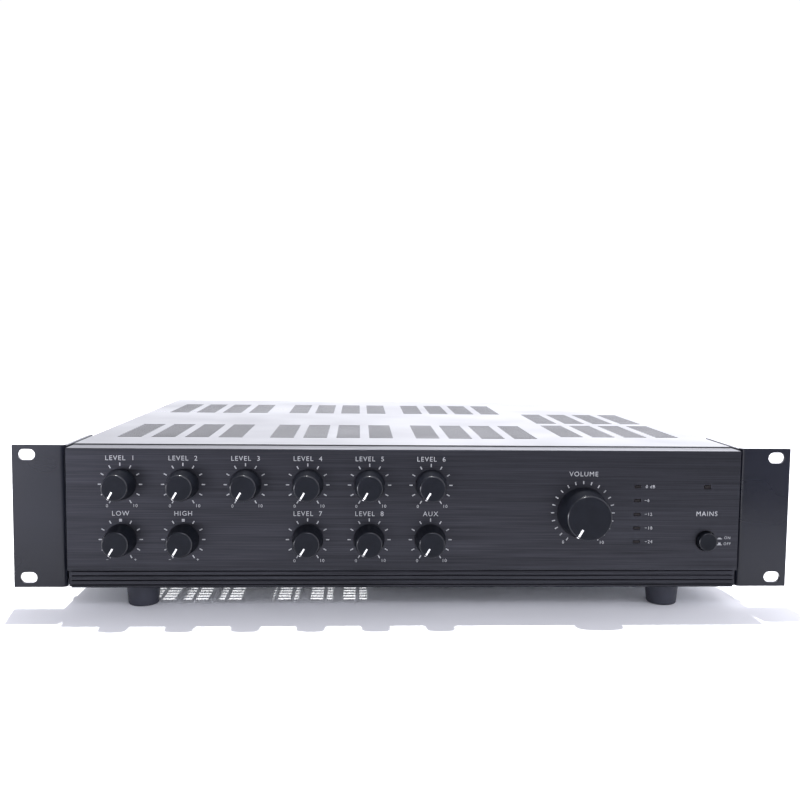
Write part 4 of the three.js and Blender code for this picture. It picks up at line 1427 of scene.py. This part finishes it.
@dataclass
class RackEar:
    """A bent rack ear with its two slots and flange, and the two screws in its flange."""

    name: str
    side: int
    sheet: float = 2.3
    bend: float = 3.0
    slot_length: float = 10.3
    slot_height: float = 6.8
    slot_from_end: float = 8.75
    slot_from_top: float = 5.95
    slot_flat: float = 0.01
    trim: float = 0.5
    screw_radius: float = 4.0
    shank_radius: float = 2.0
    screw_seat: float = 0.3
    edge: float = 0.25

    def build(self) -> None:
        """Makes the ear and its screws."""
        box = Extent.of(self.name)
        front, back = box.low.y, box.high.y
        inner, end = box.reach
        outer, small = inner + self.sheet, self.bend - self.sheet
        outline = [(end, front), (end, front + self.sheet),
                   *fillet((outer + small, front + self.sheet + small), small, 270, 180, 6),
                   (outer, back), (inner, back),
                   *fillet((inner + self.bend, front + self.bend), self.bend, 180, 270, 8)]
        ear = Form.prism(outline, Axis.Z, box.low.z, box.high.z)
        through = (front - PAST, front + self.sheet + PAST)
        tools = [slab(end - self.slot_from_end, z, self.slot_length, self.slot_height, through,
                      self.slot_height / 2 - self.slot_flat, 10)
                 for z in (box.low.z + self.slot_from_top, box.high.z - self.slot_from_top)]
        start = front + self.bend + self.trim
        low_strip = (box.low.z - PAST, box.low.z + self.trim)
        high_strip = (box.high.z - self.trim, box.high.z + PAST)
        for low, high in (low_strip, high_strip):
            tools.append(Form.bar((inner - PAST, start, low), (outer + PAST, back + PAST, high)))
        ear.cut(*tools)
        if self.side < 0:
            ear.flip(Axis.X)
        set_piece(ear, f"{self.name}_plate", Seat(CASE, "ear", (self.name,)), EAR, edge=self.edge)
        tag = self.name.removeprefix("rack_ear_")
        for number in (1, 2):
            node = f"ear_screw_{tag}_{number}"
            at = Extent.of(node)
            seat_at = self.side * (outer + self.screw_seat)
            start, tip = at.reach
            head = pan_screw(Axis.X, seat_at, self.side, at.middle.y, at.middle.z, self.screw_radius,
                             tip - abs(seat_at))
            shank = sorted((seat_at, self.side * start))
            head.join(Form.rod(self.shank_radius, Axis.X, at.middle, shank, 24))
            set_piece(head, f"{node}_head", Seat(CASE, "screw", (node,)), SCREW)


@dataclass
class Foot:
    """A tapered rubber foot with its sunk screw."""

    name: str
    top_radius: float = 10.5
    base_radius: float = 9.4
    edge: float = 1.2
    bore: float = 2.2
    sink: float = 4.6
    sink_depth: float = 8.0
    sink_edge: float = 0.5
    top_edge: float = 0.4
    screw_radius: float = 3.6
    screw_height: float = 2.2
    screw_overlap: float = 0.05

    def build(self) -> None:
        """Makes the foot and its screw."""
        box = Extent.of(self.name)
        top = box.high.z
        profile = [(self.bore, top), (self.top_radius - self.top_edge, top),
                   (self.top_radius, top - self.top_edge),
                   *reversed(fillet((self.base_radius - self.edge, self.edge), self.edge, -90, 0, 6)),
                   *fillet((self.sink + self.sink_edge, self.sink_edge), self.sink_edge, -90, -180, 4),
                   (self.sink, self.sink_depth), (self.bore, self.sink_depth)]
        foot = Form.lathe(profile, Axis.Z, box.middle, 72)
        set_piece(foot, f"{self.name}_rubber", Seat(CASE, "foot", (self.name,)), RUBBER)
        head = pan_screw(Axis.Z, self.sink_depth - self.screw_overlap, -1, box.middle.x, box.middle.y,
                         self.screw_radius, self.screw_height)
        set_piece(head, f"{self.name}_screw", Seat(CASE, "screw"), SCREW)


@dataclass
class Inlet:
    """The mains inlet: a flanged shell with a deep cavity, and three flat pins in it."""

    wall: float = 1.5
    flange: float = 3.0
    flange_thick: float = 2.5
    cavity: float = 16.0
    corner: float = 1.8
    flange_corner: float = 2.8
    pin_width: float = 2.0
    pin_height: float = 4.0
    pin_length: float = 10.0
    pin_pitch: float = 7.0
    pin_count: int = 3
    pin_corner: float = 0.3
    pin_sink: float = 0.5
    edge: float = 0.3

    def build(self) -> None:
        """Makes the inlet and its pins."""
        box = Extent.of("mains_inlet")
        x, _, z = box.middle
        mouth = box.high.y
        seat, floor = mouth - self.flange_thick, mouth - self.cavity
        width, height = box.size.x - 2 * self.flange, box.size.z - 2 * self.flange
        inside = (width - 2 * self.wall, height - 2 * self.wall)
        shell = slab(x, z, width, height, (box.low.y, seat), self.corner)
        shell.cut(slab(x, z, *inside, (floor, seat + PAST), self.corner))
        flange = slab(x, z, box.size.x, box.size.z, (seat, mouth), self.flange_corner)
        flange.cut(slab(x, z, *inside, (seat - PAST, mouth + PAST), self.corner))
        body = Seat(CASE, "housing", ("mains_inlet",))
        set_piece(shell.join(flange), "mains_inlet_shell", body, HOUSING, edge=self.edge)
        reach = (floor - self.pin_sink, floor + self.pin_length)
        pins = [slab(pin, z, self.pin_width, self.pin_height, reach, self.pin_corner)
                for pin in spread(x, self.pin_count, self.pin_pitch)]
        set_piece(joined(pins), "mains_inlet_pins", Seat(CASE, "contact"), BRASS, edge=self.pin_corner)


@dataclass
class FuseHolder:
    """The fuse holder: a flanged barrel with a serrated, slotted cap."""

    radius: float = 6.0
    flange_radius: float = 8.5
    flange: float = 2.0
    cap_radius: float = 5.0
    cap: float = 8.0
    slot_width: float = 1.2
    slot_depth: float = 1.5
    flange_edge: float = 0.8
    cap_edge: float = 0.2

    def build(self) -> None:
        """Makes the barrel and its cap."""
        box = Extent.of("fuse_holder")
        front, end = box.low.y, box.high.y
        flange = end - self.cap
        seat = flange - self.flange
        outer, edge = self.flange_radius, self.flange_edge
        profile = [(0.0, front), (self.radius, front), (self.radius, seat), (outer, seat),
                   *reversed(fillet((outer - edge, flange - edge), edge, 90, 0, 4)), (0.0, flange)]
        barrel = Form.lathe(profile, Axis.Y, box.middle, 48)
        set_piece(barrel, "fuse_holder_barrel", Seat(CASE, "housing", ("fuse_holder",)), HOUSING)
        cap = knurled((box.middle.x, box.middle.z), self.cap_radius, (flange, end))
        cap.cut(slab(box.middle.x, box.middle.z, 3 * self.cap_radius, self.slot_width,
                     (end - self.slot_depth, end + PAST)))
        set_piece(cap, "fuse_holder_cap", Seat(CASE, "housing"), HOUSING, edge=self.cap_edge)


@dataclass
class TerminalStrip:
    """A barrier strip: a moulded block, with a clamp plate and a screw in each way."""

    node: str
    barrier: float = 1.6
    barrier_height: float = 5.0
    depth: float = 7.0
    tail_height: float = 6.0
    plate: tuple[float, float, float] = (7.6, 9.6, 0.6)
    plate_corner: float = 0.8
    screw_radius: float = 3.2
    screw_height: float = 1.4
    block_edge: float = 0.25
    edge: float = 0.12

    def build(self) -> None:
        """Makes the block, the plates and the screws."""
        box = Extent.of(self.node)
        x, _, z = box.middle
        ways = round((box.size.x - self.barrier) / TERMINAL_PITCH)
        face = box.high.y - self.barrier_height
        seat = face - self.depth
        tail = slab(x, z, (ways - 1) * TERMINAL_PITCH, self.tail_height, (box.low.y, seat))
        block = slab(x, z, box.size.x, box.size.z, (seat, face))
        walls = [slab(place, z, self.barrier, box.size.z, (face, box.high.y))
                 for place in spread(x, ways + 1, TERMINAL_PITCH)]
        body = Seat(CASE, "housing", (self.node,))
        set_piece(block.join(tail, *walls), f"{self.node}_block", body, HOUSING, edge=self.block_edge)
        width, height, thick = self.plate
        clamps = []
        for place in spread(x, ways, TERMINAL_PITCH):
            clamps.append(slab(place, z, width, height, (face, face + thick), self.plate_corner))
            clamps.append(pan_screw(Axis.Y, face + thick, 1, place, z, self.screw_radius, self.screw_height))
        set_piece(joined(clamps), f"{self.node}_clamps", Seat(CASE, "contact"), BRASS, edge=self.edge)


@dataclass
class GroundTerminal:
    """The ground terminal: a threaded post with a washer and a serrated nut."""

    post_radius: float = 2.5
    cap_radius: float = 5.0
    cap: float = 8.0
    washer: float = 0.8
    nut_margin: float = 0.2
    tip: float = 1.0
    point: float = 0.5
    edge: float = 0.15

    def build(self) -> None:
        """Makes the post, the washer and the nut."""
        box = Extent.of("ground_terminal")
        x, _, z = box.middle
        seat = box.high.y - self.cap
        radius = self.post_radius
        post = Form.lathe([(0.0, box.low.y), (radius, box.low.y), (radius, box.high.y - self.point),
                           (radius - self.point, box.high.y), (0.0, box.high.y)], Axis.Y, box.middle, 32)
        washer = Form.rod(self.cap_radius, Axis.Y, box.middle, (seat, seat + self.washer), 40)
        nut = knurled((x, z), self.cap_radius - self.nut_margin, (seat + self.washer, box.high.y - self.tip))
        body = Seat(CASE, "screw", ("ground_terminal",))
        set_piece(post.join(washer, nut), "ground_terminal_post", body, SCREW, edge=self.edge)


@dataclass
class ModulePlate:
    """The blank plate over the module opening, with a screw near each corner."""

    corner: float = 1.5
    inset: float = 4.5
    screw_radius: float = 2.6
    screw_height: float = 1.5
    edge: float = 0.15

    def build(self) -> None:
        """Makes the plate and its screws."""
        box = Extent.of("module_cover_plate")
        (x, _, z), (width, _, height) = box.middle, box.size
        plate = slab(x, z, width, height, (box.low.y, box.high.y), self.corner)
        body = Seat(CASE, "rear", ("module_cover_plate",))
        set_piece(plate, "module_plate", body, REAR, edge=self.edge)
        columns, rows = spread(x, 2, width - 2 * self.inset), spread(z, 2, height - 2 * self.inset)
        heads = [pan_screw(Axis.Y, box.high.y, 1, u, v, self.screw_radius, self.screw_height)
                 for u in columns for v in rows]
        set_piece(joined(heads), "module_plate_screws", Seat(CASE, "screw"), BLACK_SCREW)


@dataclass
class CaseScrews:
    """The screws that hold the case together, at the rear of its sides and round its underside."""

    radius: float = 3.0
    height: float = 1.7
    side_from_back: float = 8.0
    side_rises: Corner = (38.0, 76.0)
    front_inset: float = 8.0
    under_reach: float = 110.0

    def build(self) -> None:
        """Makes the heads, one piece for the sides and one for the underside."""
        cover, tray = Extent.of("top_cover"), Extent.of("chassis_tray")
        y = cover.high.y - self.side_from_back
        sides = [pan_screw(Axis.X, side * cover.high.x, side, y, z, self.radius, self.height)
                 for side in (-1, 1) for z in self.side_rises]
        rows = (tray.low.y + self.front_inset, y)
        under = [pan_screw(Axis.Z, tray.low.z, -1, x, row, self.radius, self.height)
                 for x in (-self.under_reach, 0.0, self.under_reach) for row in rows]
        for name, heads in (("side_screws", sides), ("under_screws", under)):
            set_piece(joined(heads), name, Seat(CASE, "screw"), BLACK_SCREW)


@dataclass
class RearPrint:
    """The printed words and way numbers of the rear panel."""

    depth: float = 0.04
    height: float = 2.6
    number_height: float = 2.0
    word_rise: float = 62.6
    number_gap: float = 2.4

    def build(self) -> None:
        """Prints everything as one piece."""
        face = Extent.of("rear_panel").high.y
        words = {"mains_inlet": "MAINS IN", "fuse_holder": "FUSE", "speaker_terminals": "SPEAKERS",
                 "input_terminals": "INPUTS", "ground_terminal": "GROUND"}
        made = []
        for node, word in words.items():
            spot = (Extent.of(node).middle.x, face, self.word_rise)
            made.append(Form.text(word, self.height, spot, self.depth, True))
        for node in ("speaker_terminals", "input_terminals"):
            box = Extent.of(node)
            ways = int(box.size.x // TERMINAL_PITCH)
            for number, x in enumerate(reversed(spread(box.middle.x, ways, TERMINAL_PITCH)), 1):
                spot = (x, face, box.high.z + self.number_gap)
                made.append(Form.text(str(number), self.number_height, spot, self.depth, True))
        set_piece(joined(made), "rear_print", Seat(CASE, "print"), PRINT)


CAD_FINISHES: dict[str, Finish] = {
    "panel": PANEL, "cover": COVER, "ear": EAR, "rear": REAR, "zinc": ZINC, "screw": SCREW, "knob": KNOB,
    "button": BUTTON, "foot": RUBBER, "shaft": SHAFT, "board": BOARD, "housing": HOUSING, "lens": LENS,
    "core": CORE, "coil": COIL, "heat_sink": SINK, "sleeve": SLEEVE, "wire": WIRE,
}


class InnerWorks:
    """The CAD nodes: each gets the finish of its material slot, and the ribbon cable its own."""

    def build(self) -> None:
        """Dresses the nodes."""
        slots = {row["node"]: row["material_slot"] for row in frame["record"]["subparts"]}
        for name, node in frame["nodes"].items():
            finish = RIBBON if name == "control_ribbon" else CAD_FINISHES[slots[name]]
            node.data.materials.clear()
            node.data.materials.append(material(finish))
            node.data.polygons.foreach_set("material_index", [0] * len(node.data.polygons))
        log.info("dressed %d nodes", len(frame["nodes"]))


@dataclass
class Studio:
    """White floor, key light from behind, cool fill from the front, the surroundings, and the camera."""

    camera_at: Point = (-31.34, -738.40, 175.91)
    camera_turns: Point = (-0.04455242, -0.08067227, -0.00753528)
    lens: float = 41.767
    sensor: float = 36.0
    floor_size: float = 9000.0
    floor_front: float = -450.0
    key_slope: Corner = (0.05, -0.32)
    key_strength: float = 4.4
    key_spread: float = 1.2
    fill_at: Point = (150.0, -1600.0, 1350.0)
    fill_size: float = 550.0
    fill_power: float = 8.0
    fill_colour: Colour = (0.86, 0.88, 1.0)
    floor_tones: tuple[Colour, Colour] = ((0.86, 0.86, 0.88), (0.9, 0.9, 0.91))
    floor_roughness: float = 0.8
    floor_cloud: float = 900.0
    sky_colour: Colour = (0.91, 0.915, 1.0)
    sky_seen: float = 1.12
    left_glow: float = 22.0
    middle_glow: float = 0.9
    far_glow: float = 1.2
    least_glow: float = 0.06

    def build_camera(self) -> None:
        """Stands the camera where the photograph was taken from."""
        data = bpy.data.cameras.new("camera")
        data.lens, data.sensor_width = self.lens, self.sensor
        camera = bpy.data.objects.new("camera", data)
        yaw, pitch, roll = self.camera_turns
        turn = (Matrix.Rotation(roll, 3, "Y") @ Matrix.Rotation(pitch, 3, "X")
                @ Matrix.Rotation(yaw, 3, "Z") @ Matrix.Rotation(math.pi / 2, 3, "X"))
        camera.matrix_world = Matrix.Translation(Vector(self.camera_at) * MM) @ turn.to_4x4()
        bpy.context.scene.collection.objects.link(camera)
        bpy.context.scene.camera = camera

    def build_floor(self) -> None:
        """Lays the floor: a white table that ends a little way in front."""
        mesh = bpy.data.meshes.new("floor")
        form = bmesh.new()
        made = bmesh.ops.create_grid(form, x_segments=1, y_segments=1, size=self.floor_size * MM / 2)["verts"]
        shift = self.floor_front + self.floor_size / 2
        bmesh.ops.translate(form, vec=(0, shift * MM, 0), verts=made)
        form.to_mesh(mesh)
        form.free()
        floor = bpy.data.objects.new("floor", mesh)
        bpy.context.scene.collection.objects.link(floor)
        made = bpy.data.materials.new("white_floor")
        made.use_nodes = True
        graph = Graph(made.node_tree)
        cloud = graph.noise(self.floor_cloud, 1.0)
        graph.surface(Base_Color=graph.blend(cloud, *self.floor_tones), Roughness=self.floor_roughness)
        mesh.materials.append(made)
        floor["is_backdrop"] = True

    def build_lights(self) -> None:
        """Hangs the key light and the fill."""
        key = bpy.data.lights.new("key", "SUN")
        key.energy, key.angle = self.key_strength, math.radians(self.key_spread)
        lamp = bpy.data.objects.new("key", key)
        lamp.rotation_euler = Vector((*self.key_slope, -1.0)).to_track_quat("-Z", "Y").to_euler()
        fill = bpy.data.lights.new("fill", "AREA")
        fill.energy, fill.size, fill.color = self.fill_power, self.fill_size * MM, self.fill_colour
        soft = bpy.data.objects.new("fill", fill)
        soft.location = Vector(self.fill_at) * MM
        soft.rotation_euler = (-soft.location).to_track_quat("-Z", "Y").to_euler()
        for light in (lamp, soft):
            bpy.context.scene.collection.objects.link(light)

    def build_world(self) -> None:
        """Makes the surroundings: white to look at, bright behind, with patches of light in front.

        Each limit fades its light in between two values of a direction, from -1 to 1 along an axis.
        """
        world = bpy.data.worlds.new("studio")
        bpy.context.scene.world = world
        world.use_nodes = True
        graph = Graph(world.node_tree)
        sideways, forwards, upwards = (graph.part(i, "Generated") for i in range(3))
        behind = graph.limit(forwards, -0.1, 0.6)
        backdrop = graph.limit(sideways, -0.3, 0.4, 2.25, 3.6)
        left = graph.limit(sideways, -0.22, -0.65) ** 2 * self.left_glow
        middle = graph.limit(sideways, -0.05, 0.08) * graph.limit(sideways, 0.28, 0.16) * self.middle_glow
        far = graph.limit(upwards, -0.2, -0.12) * graph.limit(sideways, 0.3, 0.12) * self.far_glow
        below = graph.limit(upwards, 0.02, -0.05)
        above = graph.limit(sideways, -0.3, 0.5, 0.4, 2.0) * (1 - below)
        overhead = graph.limit(upwards, 0.3, 0.8, 1.0, 0.6)
        front = (left + middle + far + self.least_glow) * below + above
        glow = (front * (1 - behind) + behind * backdrop) * overhead
        seen = Field(graph, graph.add("ShaderNodeLightPath", {}, {}).outputs["Is Camera Ray"])
        strength = glow * (1 - seen) + seen * self.sky_seen
        sky = {"Color": (*self.sky_colour, 1.0), "Strength": strength}
        shader = graph.add("ShaderNodeBackground", {}, sky)
        graph.add("ShaderNodeOutputWorld", {}, {"Surface": Field(graph, shader.outputs[0])})

    def build(self) -> None:
        """Sets up the whole studio."""
        self.build_camera()
        self.build_floor()
        self.build_lights()
        self.build_world()
        bpy.context.scene.view_settings.view_transform = "Standard"


def main() -> None:
    """Builds the studio and every sub-assembly in order."""
    parts = [
        Studio(), InnerWorks(), FrontPanel(), TopCover(),
        RackEar("rack_ear_left", -1), RackEar("rack_ear_right", 1),
        *[Foot(f"foot_{end}_{side}") for end in ("front", "back") for side in ("left", "right")],
        *[Dial(name) for name in SMALL_NAMES],
        Dial("master", base=16.0, face=13.8, fillet_radius=1.1, pointer_start=8.0, pointer_reach=14.0,
             pointer_width=1.3),
        PowerButton(), PanelPrint(), Inlet(), FuseHolder(),
        TerminalStrip("speaker_terminals"), TerminalStrip("input_terminals"),
        GroundTerminal(), ModulePlate(), CaseScrews(), RearPrint(),
    ]
    for part in parts:
        part.build()
        log.info("built %s", type(part).__name__)
    boxes = {"cad": cad_box, "visual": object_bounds()}
    sizes = {name: [list(corner) for corner in box] for name, box in boxes.items()}


if __name__ == "__main__":
    main()
